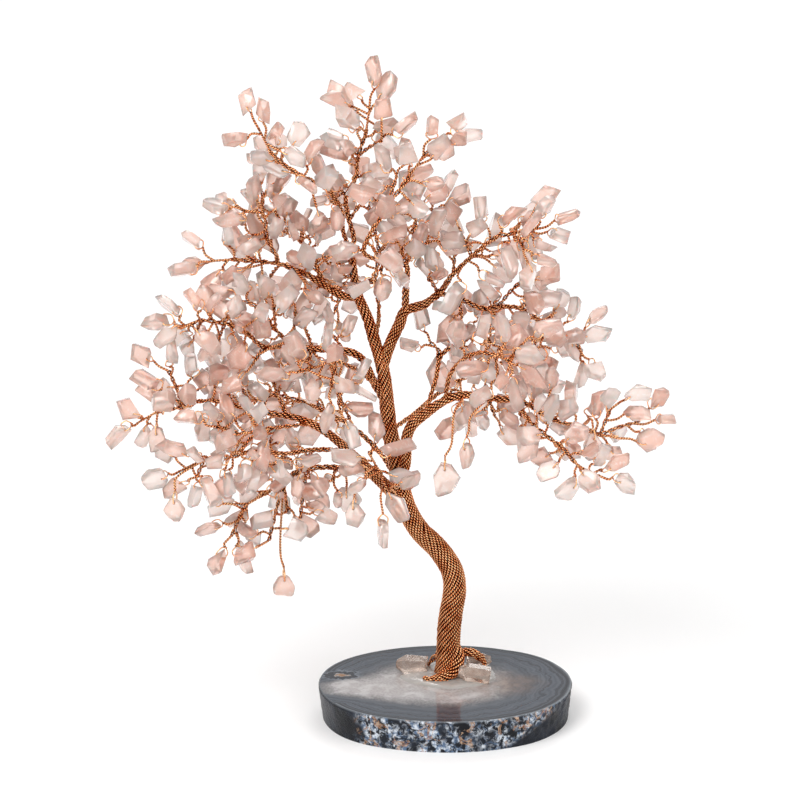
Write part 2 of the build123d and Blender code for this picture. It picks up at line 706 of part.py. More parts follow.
rng = random.Random(placing_seed)
for spray, limb, vertex, fork_shares, headings, reach_share in sprays_of:
    fork = place(*fork_shares) if fork_shares else points_of[limb][vertex]
    before = points_of[limb][vertex] if fork_shares else points_of[limb][vertex - 1]
    carrier = spray if fork_shares else limb
    for rank, heading in enumerate(headings):
        start = fork + (before - fork) * min(twig_spacing * rank / (before - fork).length, start_limit_share)
        place_chip(start, heading, chip_reach * reach_share, bough_of[limb], carrier, spray, rng)


def sweep_run(points, radius, sides):
    """Sweep one bundle of wires along straight runs, mitred at the bends."""
    with BuildLine() as route:
        Polyline(*points)
    with BuildSketch(Plane(origin=points[0], z_dir=points[1] - points[0])) as section:
        RegularPolygon(radius, sides)
    return sweep(section.sketch, path=route.line, transition=Transition.RIGHT, mode=Mode.PRIVATE)


def bundle_sides(radius):
    """Give the number of flats that stand in for a round bundle of this size."""
    if radius > stout_radius:
        return 6
    return 4 if radius > slim_radius else 3


def lobed_outline(radius, lobes, turn):
    """Give the corners of a bundle's section, proud at each wire and drawn in between them."""
    corners = []
    for k in range(2 * lobes):
        angle = math.radians(turn + 180 * k / lobes)
        reach = radius if k % 2 == 0 else radius * (1 - lobe_depth_share)
        corners.append((reach * math.cos(angle), reach * math.sin(angle)))
    return corners


# Agate slice: an irregular oval of shallow arcs, with a drawn-in underside and a ground top edge.
slice_levels = (
    (0, slice_wall_draft),
    (slice_thickness - slice_edge_chamfer, 0),
    (slice_thickness, slice_edge_chamfer),
)
with BuildPart() as agate_slice:
    for level, inset in slice_levels:
        rim = [(x * (slice_length / 2 - inset), y * (slice_width / 2 - inset)) for x, y in SLICE_OUTLINE_SHARES]
        with BuildSketch(Plane.XY.offset(level)):
            with BuildLine():
                for k in range(0, len(rim), 2):
                    ThreePointArc(rim[k], rim[k + 1], rim[(k + 2) % len(rim)])
            make_face()
    loft(ruled=True)
agate_slice.part.label = "agate_slice"
export_step(agate_slice.part, "parts/agate_slice.step")

# Trunk and leader: one rope of wires, its lobed sections turning with the lay.
with BuildLine() as rope_line:
    Spline(
        *(points_of["trunk"] + points_of["leader"]),
        tangents=(Vector(0, 0, 1), points_of["leader"][-1] - points_of["leader"][-2]),
    )
rope = rope_line.edge()


def rope_corners(way, radius, lobes):
    """Give the corners of the rope's section at a share of its length."""
    along = rope % way
    across = (Vector(0, 1, 0) - along * along.Y).normalized()
    side = along.cross(across)
    turn = 360 * way * rope.length / lay_pitch
    return [rope @ way + across * x + side * y for x, y in lobed_outline(radius, lobes, turn)]


def twisted_rope(sections):
    """Close a solid round a stretch of rope, with two flat facets between each pair of corners."""
    facets = [Face(Wire.make_polygon(section)) for section in (sections[0], sections[-1])]
    for low, high in zip(sections, sections[1:]):
        for k in range(len(low)):
            after = (k + 1) % len(low)
            facets.append(Face(Wire.make_polygon((low[k], low[after], high[after]))))
            facets.append(Face(Wire.make_polygon((low[k], high[after], high[k]))))
    return Solid(Shell(facets))


with BuildPart() as trunk:
    sections = []
    for step in range(trunk_steps + 1):
        radius = (
            trunk_radius + (leader_base_radius - trunk_radius) * (step / trunk_steps) ** 2
            + trunk_flare * max(0, 1 - step / flare_steps) ** 2
        )
        sections.append(rope_corners(trunk_share * step / trunk_steps, radius, trunk_lobes))
    add(twisted_rope(sections))
trunk.part.label = "trunk"
export_step(trunk.part, "parts/trunk.step")

with BuildPart() as leader:
    sections = []
    for step in range(leader_steps + 1):
        radius = leader_base_radius + (leader_tip_radius - leader_base_radius) * step / leader_steps
        way = trunk_share + (1 - trunk_share) * step / leader_steps
        sections.append(rope_corners(way, radius, leader_lobes))
    add(twisted_rope(sections))
leader.part.label = "leader"
export_step(leader.part, "parts/leader.step")

# Roots: bundles that part from the trunk's foot and lie down in the resin.
roots = {}
foot = points_of["trunk"][0]
for name, root_shares in ROOTS.items():
    points = [foot + Vector(x * pool_length, y * pool_width, z * root_rise) for x, y, z in root_shares]
    with BuildPart() as root:
        add(sweep_run(points, root_radius * ROOT_SIZE_SHARES[name], 8))
        split(bisect_by=Plane.XY.offset(slice_thickness), keep=Keep.TOP)
        add(trunk.part, mode=Mode.SUBTRACT)
        for other in roots.values():
            add(other, mode=Mode.SUBTRACT)
    root.part.label = name
    roots[name] = root.part
    export_step(root.part, f"parts/{name}.step")

# Quartz points beside the trunk, set in the resin with their undersides flat on the slice.
crystals = {}
for name, (x_share, y_share, heading, tilt, size_share) in QUARTZ.items():
    seat = foot + Vector(x_share * pool_length, y_share * pool_width, quartz_diameter * size_share * quartz_sit_share)
    level = math.cos(math.radians(tilt))
    along = Vector(
        math.cos(math.radians(heading)) * level, math.sin(math.radians(heading)) * level, math.sin(math.radians(tilt))
    )
    shaft_length = (quartz_length - quartz_tip_length) * size_share
    with BuildPart() as crystal:
        with BuildSketch(Plane(origin=seat, z_dir=along)):
            RegularPolygon(quartz_diameter * size_share / 2, 6)
        extrude(amount=shaft_length)
        with BuildSketch(Plane(origin=seat + along * shaft_length, z_dir=along)):
            RegularPolygon(quartz_diameter * size_share / 2, 6)
        extrude(amount=quartz_tip_length * size_share, taper=quartz_tip_slope)
        split(bisect_by=Plane.XY.offset(slice_thickness), keep=Keep.TOP)
        add(trunk.part, mode=Mode.SUBTRACT)
        for root in roots.values():
            add(root, mode=Mode.SUBTRACT)
    crystal.part.label = name
    crystals[name] = crystal.part
    export_step(crystal.part, f"parts/{name}.step")

# Clear resin that glues the foot down, moulded round everything that stands in it.
with BuildPart() as resin_pool:
    with BuildSketch(Plane(origin=(foot.X, foot.Y, slice_thickness))):
        Polygon(*[(x * pool_length / 2, y * pool_width / 2) for x, y in POOL_OUTLINE_SHARES], align=None)
    extrude(amount=pool_thickness, taper=pool_edge_slope)
    add(trunk.part, mode=Mode.SUBTRACT)
    for piece in list(roots.values()) + list(crystals.values()):
        add(piece, mode=Mode.SUBTRACT)
resin_pool.part.label = "resin_pool"
export_step(resin_pool.part, "parts/resin_pool.step")

# One stone of each shape, tapered as tumbling leaves it, with its middle at the origin.
stone_shapes = []
for shape, (size_shares, outline_shares) in enumerate(CHIP_SHAPES):
    length, width, thickness = chip_sizes(shape)
    with BuildPart() as stone:
        with BuildSketch(Plane.XY.offset(-thickness / 2)):
            Polygon(*[(x * length / 2, y * width / 2) for x, y in outline_shares], align=None)
        extrude(amount=thickness, taper=chip_draft)
    stone_shapes.append(stone.part)

# Boughs: their wires fused into one bundle each, seated against the bundle that they leave.
bough_wires = {"trunk": trunk.part, "leader": leader.part}
for bough, limbs in BOUGHS.items():
    with BuildPart() as wiring:
        runs = []
        for limb in limbs:
            for first, last, radius in bundle_spans(limb):
                start = max(0, first - 1)
                runs.append(sweep_run(points_of[limb][start:last + 1], radius, bundle_sides(radius)))
        for stem, radius in stems[bough]:
            runs.append(sweep_run(stem, radius, 3))
        for start, end in twigs[bough]:
            with BuildSketch(Plane(origin=start, z_dir=end - start)):
                RegularPolygon(twig_radius, 3)
            runs.append(extrude(amount=(end - start).length, mode=Mode.PRIVATE))
        for name, (pin, axis, length, width, hole_inset, leg_rise, leg_side, top) in pendant_parts.items():
            if bough_of[PENDANTS[name][0]] == bough:
                for side in (-1, 1):
                    leg = axis * (side * leg_side)
                    rise = Vector(0, 0, leg_rise)
                    runs.append(sweep_run([top, pin + leg + rise, pin + leg, pin], loop_wire_radius, 3))
        add(runs)
        for carrier in carriers_of(bough):
            add(bough_wires[carrier], mode=Mode.SUBTRACT)
        # A corner of the first run that came out on the carrier's far side is left off.
        add(wiring.solids().sort_by(SortBy.VOLUME)[-1], mode=Mode.REPLACE)
    bough_wires[bough] = wiring.part
    wiring.part.label = f"{bough}_wires"
    export_step(wiring.part, f"parts/{bough}_wires.step")

    with BuildPart() as stonework:
        for shape, stone in enumerate(stone_shapes):
            spots = [plane.location for chosen, plane in chips[bough] if chosen == shape]
            if spots:
                with Locations(*spots):
                    add(stone)
    stonework.part.label = f"{bough}_chips"
    export_step(stonework.part, f"parts/{bough}_chips.step")

# Chips that hang free, each drilled for the loop that carries it.
for name, (pin, axis, length, width, hole_inset, leg_rise, leg_side, top) in pendant_parts.items():
    across = axis.cross(Vector(0, 0, 1)) * -1
    middle = pin - Vector(0, 0, length / 2 - hole_inset)
    with BuildPart() as pendant:
        with BuildSketch(Plane(origin=middle - axis * (pendant_thickness / 2), x_dir=across, z_dir=axis)):
            Polygon(*[(x * width / 2, y * length / 2) for x, y in PENDANT_OUTLINE_SHARES], align=None)
            with Locations((0, length / 2 - hole_inset)):
                Circle(loop_hole_radius, mode=Mode.SUBTRACT)
        extrude(amount=pendant_thickness)
    pendant.part.label = name
    export_step(pendant.part, f"parts/{name}.step")
    print(f"{name}: pin at {tuple(round(value, 3) for value in pin)} mm, axis {tuple(round(value, 4) for value in axis)}")
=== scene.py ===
import sys
import json
import logging
import math
import random
from dataclasses import dataclass, field
from enum import Enum
from typing import Optional, Sequence

import bmesh
import bpy
import numpy as np
from mathutils import Matrix, Vector, noise
from mathutils.bvhtree import BVHTree
from mathutils.geometry import intersect_line_line


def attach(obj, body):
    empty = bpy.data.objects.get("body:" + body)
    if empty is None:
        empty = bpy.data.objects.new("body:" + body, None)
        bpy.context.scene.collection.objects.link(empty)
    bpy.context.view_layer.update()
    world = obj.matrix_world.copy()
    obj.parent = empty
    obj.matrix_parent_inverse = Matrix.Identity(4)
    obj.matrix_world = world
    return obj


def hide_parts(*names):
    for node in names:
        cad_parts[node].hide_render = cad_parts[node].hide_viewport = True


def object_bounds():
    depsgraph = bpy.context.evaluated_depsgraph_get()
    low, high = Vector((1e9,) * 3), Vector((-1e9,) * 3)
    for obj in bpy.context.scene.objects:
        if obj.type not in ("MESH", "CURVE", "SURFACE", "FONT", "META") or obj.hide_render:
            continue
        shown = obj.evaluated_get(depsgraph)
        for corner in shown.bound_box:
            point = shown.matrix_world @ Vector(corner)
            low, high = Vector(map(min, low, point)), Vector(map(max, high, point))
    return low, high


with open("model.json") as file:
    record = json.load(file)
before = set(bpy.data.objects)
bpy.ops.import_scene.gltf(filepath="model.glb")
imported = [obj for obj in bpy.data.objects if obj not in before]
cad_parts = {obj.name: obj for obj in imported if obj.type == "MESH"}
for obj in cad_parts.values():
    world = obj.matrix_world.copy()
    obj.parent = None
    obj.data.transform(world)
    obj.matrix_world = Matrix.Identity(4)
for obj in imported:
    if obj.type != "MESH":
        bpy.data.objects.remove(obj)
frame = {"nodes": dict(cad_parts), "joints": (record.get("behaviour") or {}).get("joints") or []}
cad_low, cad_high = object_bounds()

log = logging.getLogger("gemstone_tree")

MM = 0.001
UP = Vector((0, 0, 1))
Triple = tuple[float, float, float]
Colour = Triple
Stops = tuple[tuple[float, Colour], ...]
Place = tuple[int, int, int]

# Driving sizes, as the solids have them.
TREE_HEIGHT = 214 * MM
CROWN_REACH = 110 * MM
CROWN_HALF_DEPTH = 66 * MM
FOOT_SETBACK = 8 * MM
SLICE_THICKNESS = 11.2 * MM
SIGHT_SLOPE = math.tan(math.radians(18))
CHIP_LENGTH = 9.6 * MM
CHIP_WIDTH = 7.2 * MM
CHIP_REACH = 10.5 * MM
STRAND_RADIUS = 0.24 * MM
STEM_RADIUS = 0.62 * MM
TWIG_RADIUS = 0.4 * MM
SEAT_GAP = 0.12 * MM
TRUNK_RADIUS = 4.1 * MM
TRUNK_FLARE = 1.0 * MM
LEADER_BASE_RADIUS = 3.0 * MM
LEADER_TIP_RADIUS = 1.5 * MM
TRUNK_SHARE = 0.53
POOL_LENGTH = 33 * MM
POOL_WIDTH = 27 * MM
ROOT_RADIUS = 1.6 * MM
ROOT_RISE = 10 * MM
QUARTZ_DIAMETER = 8.6 * MM
QUARTZ_LENGTH = 13.5 * MM
QUARTZ_TIP_LENGTH = 4.2 * MM
PENDANT_THICKNESS = 2.4 * MM
TREE_BODY = "tree"


class Slot(Enum):
    """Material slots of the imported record."""

    AGATE = "agate"
    COPPER = "copper_wire"
    ROSE = "rose_quartz"
    CLEAR = "clear_quartz"
    RESIN = "resin"


@dataclass(frozen=True)
class Spray:
    """Chips that part from one point of a limb.

    Args:
        vertex: The limb's point that the spray leaves.
        solids: How many of its chips are solids of the frame.
        reach: Share of the chips' usual reach.
        extras: Headings of the further chips, in degrees as seen from the front.
        fork: Place of the spray's own fork, or None where the chips leave the limb itself.
    """

    vertex: int
    solids: int
    reach: float = 1.0
    extras: tuple[int, ...] = ()
    fork: Optional[Place] = None


@dataclass(frozen=True)
class Limb:
    """A bundle of wires: what it leaves and at which point, its own points, and its sprays."""

    origin: str
    vertex: int
    path: tuple[Place, ...]
    sprays: tuple[Spray, ...]


@dataclass(frozen=True)
class Hanger:
    """A chip that hangs free: its limb and point, its stem's points, and its size shares."""

    limb: str
    vertex: int
    stem: tuple[Place, ...]
    size: tuple[float, float]


# Places in thousandths: across of the crown's reach, back of its half depth, and up of the height.
TRUNK_PATH = (
    (12, 0, 0), (12, 0, 60), (18, -10, 100), (30, -20, 140), (22, -20, 175), (-20, -10, 210),
    (-80, 10, 243), (-118, 20, 280), (-137, 20, 320), (-150, 10, 365),
)
LEADER_PATH = (
    (-168, 0, 405), (-176, 0, 450), (-190, 10, 510), (-212, 20, 550), (-235, 30, 590), (-262, 30, 625),
    (-278, 20, 665), (-285, 20, 700),
)
LIMBS: dict[str, Limb] = {
    "right_low": Limb("trunk", 8, (
        (-119, -40, 355), (-117, -70, 390), (-100, -80, 414), (-60, -90, 433), (0, -120, 455),
        (60, -140, 464), (130, -160, 459), (215, -200, 455), (255, -220, 447), (320, -240, 425),
        (410, -260, 411), (470, -270, 399), (525, -270, 393),
    ), (
        Spray(13, 3), Spray(12, 2, 0.9), Spray(12, 2, 1.1, (), (500, -220, 440)),
        Spray(12, 2, 1.1, (), (585, -200, 420)), Spray(11, 2), Spray(10, 1, 0.95, (60,)), Spray(9, 2, 0.95),
        Spray(7, 1, 0.95, (85,)), Spray(7, 0, 0.8, (300, 340), (150, -140, 430)), Spray(6, 2, 0.7),
        Spray(8, 0, 0.75, (275, 235), (235, -100, 420)),
    )),
    "left_low": Limb("trunk", 7, (
        (-175, -40, 312), (-230, -80, 340), (-295, -120, 373), (-345, -140, 397), (-405, -160, 417),
        (-480, -170, 430), (-560, -180, 436), (-640, -190, 447), (-725, -200, 455), (-790, -210, 444),
        (-860, -220, 438), (-925, -220, 420),
    ), (
        Spray(12, 3, 0.8), Spray(10, 2, 0.85, (), (-835, -220, 462)),
        Spray(10, 2, 0.9, (), (-770, -180, 480)), Spray(10, 2, 1.0, (), (-835, -240, 503)),
        Spray(9, 2, 0.95, (240,)), Spray(8, 1, 1.0, (230, 320)), Spray(7, 1, 0.9, (240,)),
        Spray(8, 0, 0.9, (100, 60), (-690, -60, 500)),
    )),
    "right_high": Limb("leader", 2, (
        (-168, 10, 545), (-138, 10, 580), (-120, 10, 602), (-60, 40, 613), (-20, 50, 630), (25, 40, 662),
        (80, 20, 690), (150, -20, 720), (205, -50, 728), (270, -70, 734),
    ), (
        Spray(10, 2, 1.1), Spray(10, 1, 0.8, (270,)), Spray(9, 1, 0.95), Spray(8, 2),
        Spray(7, 1, 1.1, (340,)), Spray(7, 2, 0.8, (), (55, 60, 722)),
        Spray(9, 0, 0.75, (340, 290), (240, -220, 700)), Spray(6, 0, 0.75, (130, 85), (30, 120, 700)),
        Spray(5, 0, 0.75, (60, 100), (-52, -20, 655)), Spray(7, 2, 0.9, (), (120, 260, 690)),
        Spray(9, 2, 0.8, (), (200, 220, 735)),
    )),
    "left_mid": Limb("leader", 1, (
        (-213, -30, 482), (-252, -60, 523), (-310, -80, 537), (-400, -100, 540), (-460, -110, 547),
        (-512, -120, 570), (-545, -130, 600),
    ), (
        Spray(7, 3, 0.95), Spray(7, 2, 0.9, (), (-600, -180, 616)), Spray(6, 1, 0.85, (205, 40)),
        Spray(5, 0, 0.8, (92, 50), (-452, -60, 600)), Spray(3, 0, 0.8, (118, 75), (-338, -40, 560)),
        Spray(4, 0, 0.8, (205, 250), (-410, -140, 525)), Spray(6, 2, 0.9, (), (-520, 100, 610)),
        Spray(4, 0, 0.8, (120, 70), (-430, 160, 580)),
    )),
    "left_up": Limb("leader", 5, (
        (-315, 20, 627), (-368, 20, 645), (-430, 20, 663), (-500, 20, 678), (-575, 20, 683), (-655, 0, 685),
        (-715, -10, 682),
    ), (
        Spray(7, 2, 0.95), Spray(6, 2), Spray(5, 2), Spray(5, 1, 0.95, (270,)), Spray(4, 2, 0.95, (245,)),
        Spray(3, 1, 0.8, (300,)), Spray(1, 0, 0.8, (210, 250), (-335, 20, 598)), Spray(2, 1, 0.85, (20,)),
        Spray(4, 0, 0.9, (200, 250), (-540, 200, 650)),
    )),
    "crest_left": Limb("leader", 7, (
        (-308, -20, 730), (-314, -50, 765), (-355, -100, 798), (-440, -160, 823), (-512, -200, 850),
        (-560, -220, 895),
    ), (
        Spray(6, 3, 0.95), Spray(5, 2, 0.95, (172,)), Spray(4, 2, 0.9), Spray(3, 2, 0.8),
        Spray(4, 0, 0.85, (180, 112), (-490, 20, 835)),
    )),
    "crest_top": Limb("leader", 7, (
        (-276, 50, 720), (-290, 80, 750), (-300, 80, 785), (-272, 70, 818), (-262, 50, 855),
        (-240, 30, 892), (-228, 20, 930),
    ), (
        Spray(7, 2, 1.1), Spray(7, 2), Spray(6, 2, 0.9), Spray(5, 2, 1.0, (), (-192, -80, 878)),
        Spray(5, 1, 0.9, (112, 175)), Spray(4, 2, 0.8, (160,)), Spray(3, 1, 0.9, (140,)),
        Spray(2, 0, 0.7, (2, 60), (-255, 100, 775)),
    )),
    "crest_right": Limb("right_high", 3, (
        (-119, -30, 640), (-120, -60, 675), (-180, -120, 681), (-243, -160, 694), (-232, -180, 720),
        (-172, -180, 772), (-108, -160, 820), (-66, -140, 853),
    ), (
        Spray(8, 2), Spray(8, 2, 0.95, (), (-10, -100, 875)), Spray(7, 1, 0.95, (8, 45)),
        Spray(6, 0, 0.8, (122, 88), (-146, -120, 820)), Spray(6, 2, 0.8), Spray(5, 1, 0.8, (330,)),
        Spray(3, 0, 0.8, (215, 262), (-195, -200, 668)), Spray(2, 2, 0.8, (), (-135, -20, 705)),
    )),
    "crest_core": Limb("crest_right", 2, (
        (-100, 20, 700), (-92, 100, 735), (-85, 140, 770),
    ), (
        Spray(3, 2, 0.95, (140,)), Spray(2, 1, 0.95, (160, 200)),
        Spray(1, 0, 0.85, (20, 70), (-40, -40, 715)), Spray(3, 0, 0.85, (25, 75), (-30, 220, 765)),
        Spray(3, 2, 0.85, (), (-130, 260, 775)), Spray(2, 0, 0.85, (20, 300), (-40, 340, 720)),
    )),
    "right_mid": Limb("right_high", 5, (
        (45, 80, 622), (110, 120, 606), (160, 140, 608), (230, 160, 606), (310, 180, 580), (385, 180, 563),
    ), (
        Spray(6, 2, 0.8, (60,)), Spray(5, 1, 0.95, (10,)), Spray(5, 0, 0.85, (250, 200), (300, 100, 560)),
        Spray(4, 2, 0.85, (310,)), Spray(3, 2, 0.95, (), (225, 100, 648)), Spray(3, 1, 0.9, (300,)),
        Spray(6, 2, 0.9, (), (415, 140, 533)), Spray(1, 2, 0.75, (), (50, 20, 590)),
        Spray(4, 0, 0.9, (20, 330), (240, 400, 585)), Spray(2, 0, 0.9, (60, 130), (130, 420, 600)),
    )),
    "right_inner": Limb("right_low", 4, (
        (-28, -60, 490), (-10, 50, 530), (50, 100, 550), (105, 140, 568), (160, 180, 575),
    ), (
        Spray(5, 2, 0.95, (70,)), Spray(4, 2, 0.9, (40,)), Spray(3, 2, 0.9),
        Spray(2, 0, 0.85, (110, 165), (-45, 40, 550)), Spray(4, 0, 0.85, (340, 20), (150, 120, 545)),
        Spray(5, 0, 0.85, (10, 320), (210, 320, 560)),
    )),
    "right_fore": Limb("right_low", 5, (
        (18, -200, 500), (80, -280, 530), (150, -340, 530), (190, -360, 518),
    ), (
        Spray(4, 2, 0.95, (50,)), Spray(4, 1, 1.1), Spray(3, 2, 0.85, (60,)), Spray(2, 1, 0.85, (300, 90)),
        Spray(3, 2, 0.85, (), (160, -320, 490)), Spray(4, 0, 0.8, (20, 80), (230, -360, 545)),
    )),
    "right_droop": Limb("right_low", 8, (
        (250, -300, 425), (300, -360, 400), (355, -400, 377), (400, -420, 350), (465, -420, 332),
    ), (
        Spray(5, 2, 0.9), Spray(4, 2, 0.85, (60,)), Spray(3, 2, 0.85, (300,)), Spray(2, 2, 0.85),
        Spray(1, 2, 0.85),
    )),
    "left_far": Limb("left_mid", 5, (
        (-545, -200, 542), (-600, -240, 565), (-665, -260, 580), (-735, -260, 585), (-785, -260, 577),
    ), (
        Spray(5, 2, 0.95), Spray(5, 1, 0.85), Spray(4, 1, 0.9, (50, 240)), Spray(3, 2, 0.9, (110,)),
        Spray(2, 1, 0.85, (130,)), Spray(1, 0, 0.85, (230, 180), (-580, -260, 515)),
        Spray(3, 0, 0.9, (250, 200), (-690, -200, 545)), Spray(4, 2, 0.9, (), (-760, -140, 555)),
    )),
    "left_fore": Limb("left_mid", 1, (
        (-268, -140, 505), (-335, -240, 518), (-395, -320, 508),
    ), (
        Spray(3, 2, 0.95, (240,)), Spray(2, 2, 0.8), Spray(2, 0, 1.1, (262, 300), (-342, -340, 478)),
        Spray(3, 2, 0.9, (), (-445, -380, 500)), Spray(2, 2, 0.9, (), (-318, -280, 440)),
    )),
    "left_rise": Limb("left_up", 4, (
        (-538, 0, 720), (-550, -30, 758), (-610, -40, 765),
    ), (
        Spray(3, 2, 0.95), Spray(2, 1, 0.9, (60, 120)), Spray(2, 2, 0.9, (), (-553, 40, 795)),
        Spray(1, 2, 0.95), Spray(1, 0, 0.85, (140, 190), (-580, 120, 725)),
    )),
    "left_top": Limb("left_up", 2, (
        (-395, 50, 682), (-430, 70, 712), (-490, 80, 732),
    ), (
        Spray(3, 2, 0.95, (175,)), Spray(2, 1, 0.95, (60,)), Spray(1, 1, 0.95, (60, 150)),
        Spray(3, 2, 0.85, (), (-515, 100, 765)), Spray(1, 0, 0.75, (10, 60), (-330, 100, 690)),
        Spray(2, 0, 0.85, (150, 90), (-440, 260, 720)),
    )),
    "left_inner": Limb("left_low", 6, (
        (-508, -100, 462), (-550, -50, 460), (-590, -20, 452),
    ), (
        Spray(1, 0, 0.95, (60, 120), (-530, 20, 500)), Spray(3, 2, 0.95, (210,)),
        Spray(3, 2, 0.95, (), (-640, 100, 490)), Spray(2, 0, 0.9, (200, 250), (-580, 160, 430)),
        Spray(1, 0, 0.85, (30, 90), (-480, 100, 505)),
    )),
    "left_shelf": Limb("left_low", 5, (
        (-500, -260, 411), (-560, -320, 407), (-620, -360, 400),
    ), (
        Spray(3, 2, 0.95, (210,)), Spray(2, 2, 0.95), Spray(1, 0, 0.85, (230, 270), (-530, -300, 387)),
        Spray(3, 2, 0.95, (), (-690, -360, 412)), Spray(2, 2, 0.9, (), (-620, -420, 372)),
    )),
    "left_droop": Limb("left_low", 3, (
        (-400, -200, 374), (-480, -260, 368), (-580, -300, 371), (-660, -320, 361), (-730, -330, 357),
        (-800, -340, 340),
    ), (
        Spray(6, 2), Spray(5, 1, 1.0, (100,)), Spray(5, 2, 0.9, (), (-750, -300, 330)),
        Spray(4, 1, 1.0, (225, 130)), Spray(3, 2, 0.95), Spray(1, 0, 0.9, (250, 300), (-430, -140, 350)),
        Spray(2, 2, 0.85, (), (-520, -200, 350)),
    )),
    "left_skirt": Limb("left_low", 2, (
        (-330, -40, 345), (-420, -20, 342), (-490, -20, 322), (-550, -40, 300), (-600, -60, 285),
    ), (
        Spray(5, 2, 0.95), Spray(5, 2, 0.95, (), (-630, -80, 258)), Spray(5, 2, 1.0, (), (-650, -100, 232)),
        Spray(4, 1, 0.9, (200, 100)), Spray(3, 1, 0.9, (60, 200)), Spray(3, 2, 0.95, (), (-480, -60, 272)),
        Spray(3, 2, 0.95, (), (-535, -100, 225)), Spray(2, 0, 0.95, (290, 340), (-440, -100, 262)),
        Spray(1, 0, 0.9, (210, 270), (-340, -100, 325)), Spray(2, 0, 0.95, (280, 230), (-400, 40, 315)),
        Spray(1, 0, 0.8, (270, 230), (-300, -20, 330)),
    )),
    "front_spur": Limb("left_low", 1, (
        (-182, -160, 318), (-200, -220, 340), (-232, -260, 370),
    ), (
        Spray(3, 2, 0.95, (170,)), Spray(2, 2, 0.9), Spray(1, 0, 0.8, (5, 45), (-165, -220, 312)),
    )),
    "back_left": Limb("trunk", 8, (
        (-200, 200, 370), (-280, 340, 410), (-380, 460, 440), (-480, 520, 460), (-570, 560, 470),
    ), (
        Spray(5, 2, 1.0, (100,)), Spray(4, 1, 1.0, (240, 70)), Spray(3, 2, 1.0, (310,)),
        Spray(4, 0, 0.95, (190, 240), (-500, 700, 430)), Spray(3, 2, 0.95, (), (-420, 680, 500)),
        Spray(5, 2, 0.95, (), (-640, 400, 430)), Spray(2, 0, 0.95, (60, 120), (-320, 520, 460)),
    )),
    "back_right": Limb("leader", 0, (
        (-100, 200, 430), (-10, 380, 470), (90, 500, 500), (190, 560, 520),
    ), (
        Spray(4, 2, 1.0, (80,)), Spray(3, 2, 1.0, (110,)), Spray(4, 2, 0.95, (), (270, 440, 540)),
        Spray(3, 2, 0.95, (), (130, 720, 560)), Spray(4, 0, 0.95, (350, 300), (240, 700, 480)),
        Spray(2, 0, 0.95, (280, 240), (60, 600, 450)),
    )),
    "back_high": Limb("leader", 3, (
        (-200, 200, 600), (-210, 360, 650), (-200, 440, 700),
    ), (
        Spray(3, 2, 1.0, (20,)), Spray(2, 2, 0.95, (), (-300, 460, 660)),
        Spray(3, 2, 0.95, (), (-120, 480, 735)), Spray(2, 2, 0.95, (), (-420, 500, 640)),
        Spray(3, 0, 0.9, (90, 140), (-230, 400, 775)),
    )),
}
# Limbs that leave the tree as one bough share its two nodes, one of wires and one of chips.
SHARED_BOUGHS = {
    "left_low": ("left_low", "left_inner"),
    "left_mid": ("left_mid", "left_far"),
    "left_high": ("left_up", "left_rise", "left_top"),
    "crest_right": ("crest_right", "crest_core"),
}
HANGERS: dict[str, Hanger] = {
    "pendant_trunk": Hanger("front_spur", 1, ((-195, -280, 300),), (0.95, 0.95)),
    "pendant_collar": Hanger("front_spur", 2, ((-262, -320, 318),), (0.95, 0.85)),
    "pendant_lowest": Hanger("left_skirt", 3, ((-500, -20, 240), (-500, -30, 200)), (1.10, 1.05)),
    "pendant_centre": Hanger("right_low", 6, ((28, -240, 435), (20, -260, 385)), (1.25, 1.25)),
    "pendant_inner": Hanger("right_low", 7, ((80, -220, 430), (72, -220, 405)), (0.95, 0.90)),
    "pendant_left": Hanger("left_droop", 5, ((-810, -360, 330),), (1.05, 1.00)),
    "pendant_right": Hanger("right_low", 11, ((440, -320, 425),), (0.95, 0.95)),
    "pendant_tip": Hanger("left_low", 11, ((-868, -300, 435),), (0.90, 0.90)),
}
# Roots: shares of the pool's length and width and of the roots' rise, then the share of the full thickness.
ROOTS: dict[str, tuple[tuple[Triple, ...], float]] = {
    "root_front": ((
        (0.06, 0.00, 0.95), (0.10, -0.10, 0.62), (0.04, -0.22, 0.26), (-0.08, -0.27, 0.13), (-0.26, -0.26, 0.12),
    ), 1.0),
    "root_right": (((0.02, 0.02, 0.70), (0.22, 0.02, 0.76), (0.33, 0.03, 0.55), (0.38, 0.05, 0.12)), 0.72),
    "root_back": (((0.00, 0.02, 0.60), (-0.10, 0.20, 0.52), (-0.22, 0.27, 0.12)), 0.66),
}
# Outlines in shares of half the length and half the width.
POOL_OUTLINE = (
    (1.00, -0.10), (0.93, 0.34), (0.62, 0.74), (0.18, 0.98), (-0.30, 0.94), (-0.70, 0.70), (-0.96, 0.26),
    (-0.98, -0.22), (-0.72, -0.66), (-0.34, -0.92), (0.16, -1.00), (0.58, -0.82), (0.90, -0.50),
)
PENDANT_OUTLINE = ((-0.36, 1.00), (0.36, 1.00), (0.96, 0.22), (0.52, -0.86), (-0.52, -0.86), (-0.96, 0.22))


def place(spot: Place) -> Vector:
    """Turn thousandths read from the front into a place in metres."""
    across, depth, up = (part / 1000 for part in spot)
    depth *= CROWN_HALF_DEPTH
    height = SLICE_THICKNESS + up * TREE_HEIGHT - SIGHT_SLOPE * depth
    return Vector((across * CROWN_REACH, FOOT_SETBACK + depth, height))


FOOT = place(TRUNK_PATH[0])


def heading_vector(heading: float, tilt: float) -> Vector:
    """Give the unit vector of a heading seen from the front.

    Args:
        heading: Degrees, 0 to the right and 90 up.
        tilt: Degrees away from the eye.

    Returns:
        The unit vector.
    """
    level = math.cos(math.radians(tilt))
    angle = math.radians(heading)
    return Vector((math.cos(angle) * level, math.sin(math.radians(tilt)), math.sin(angle) * level))


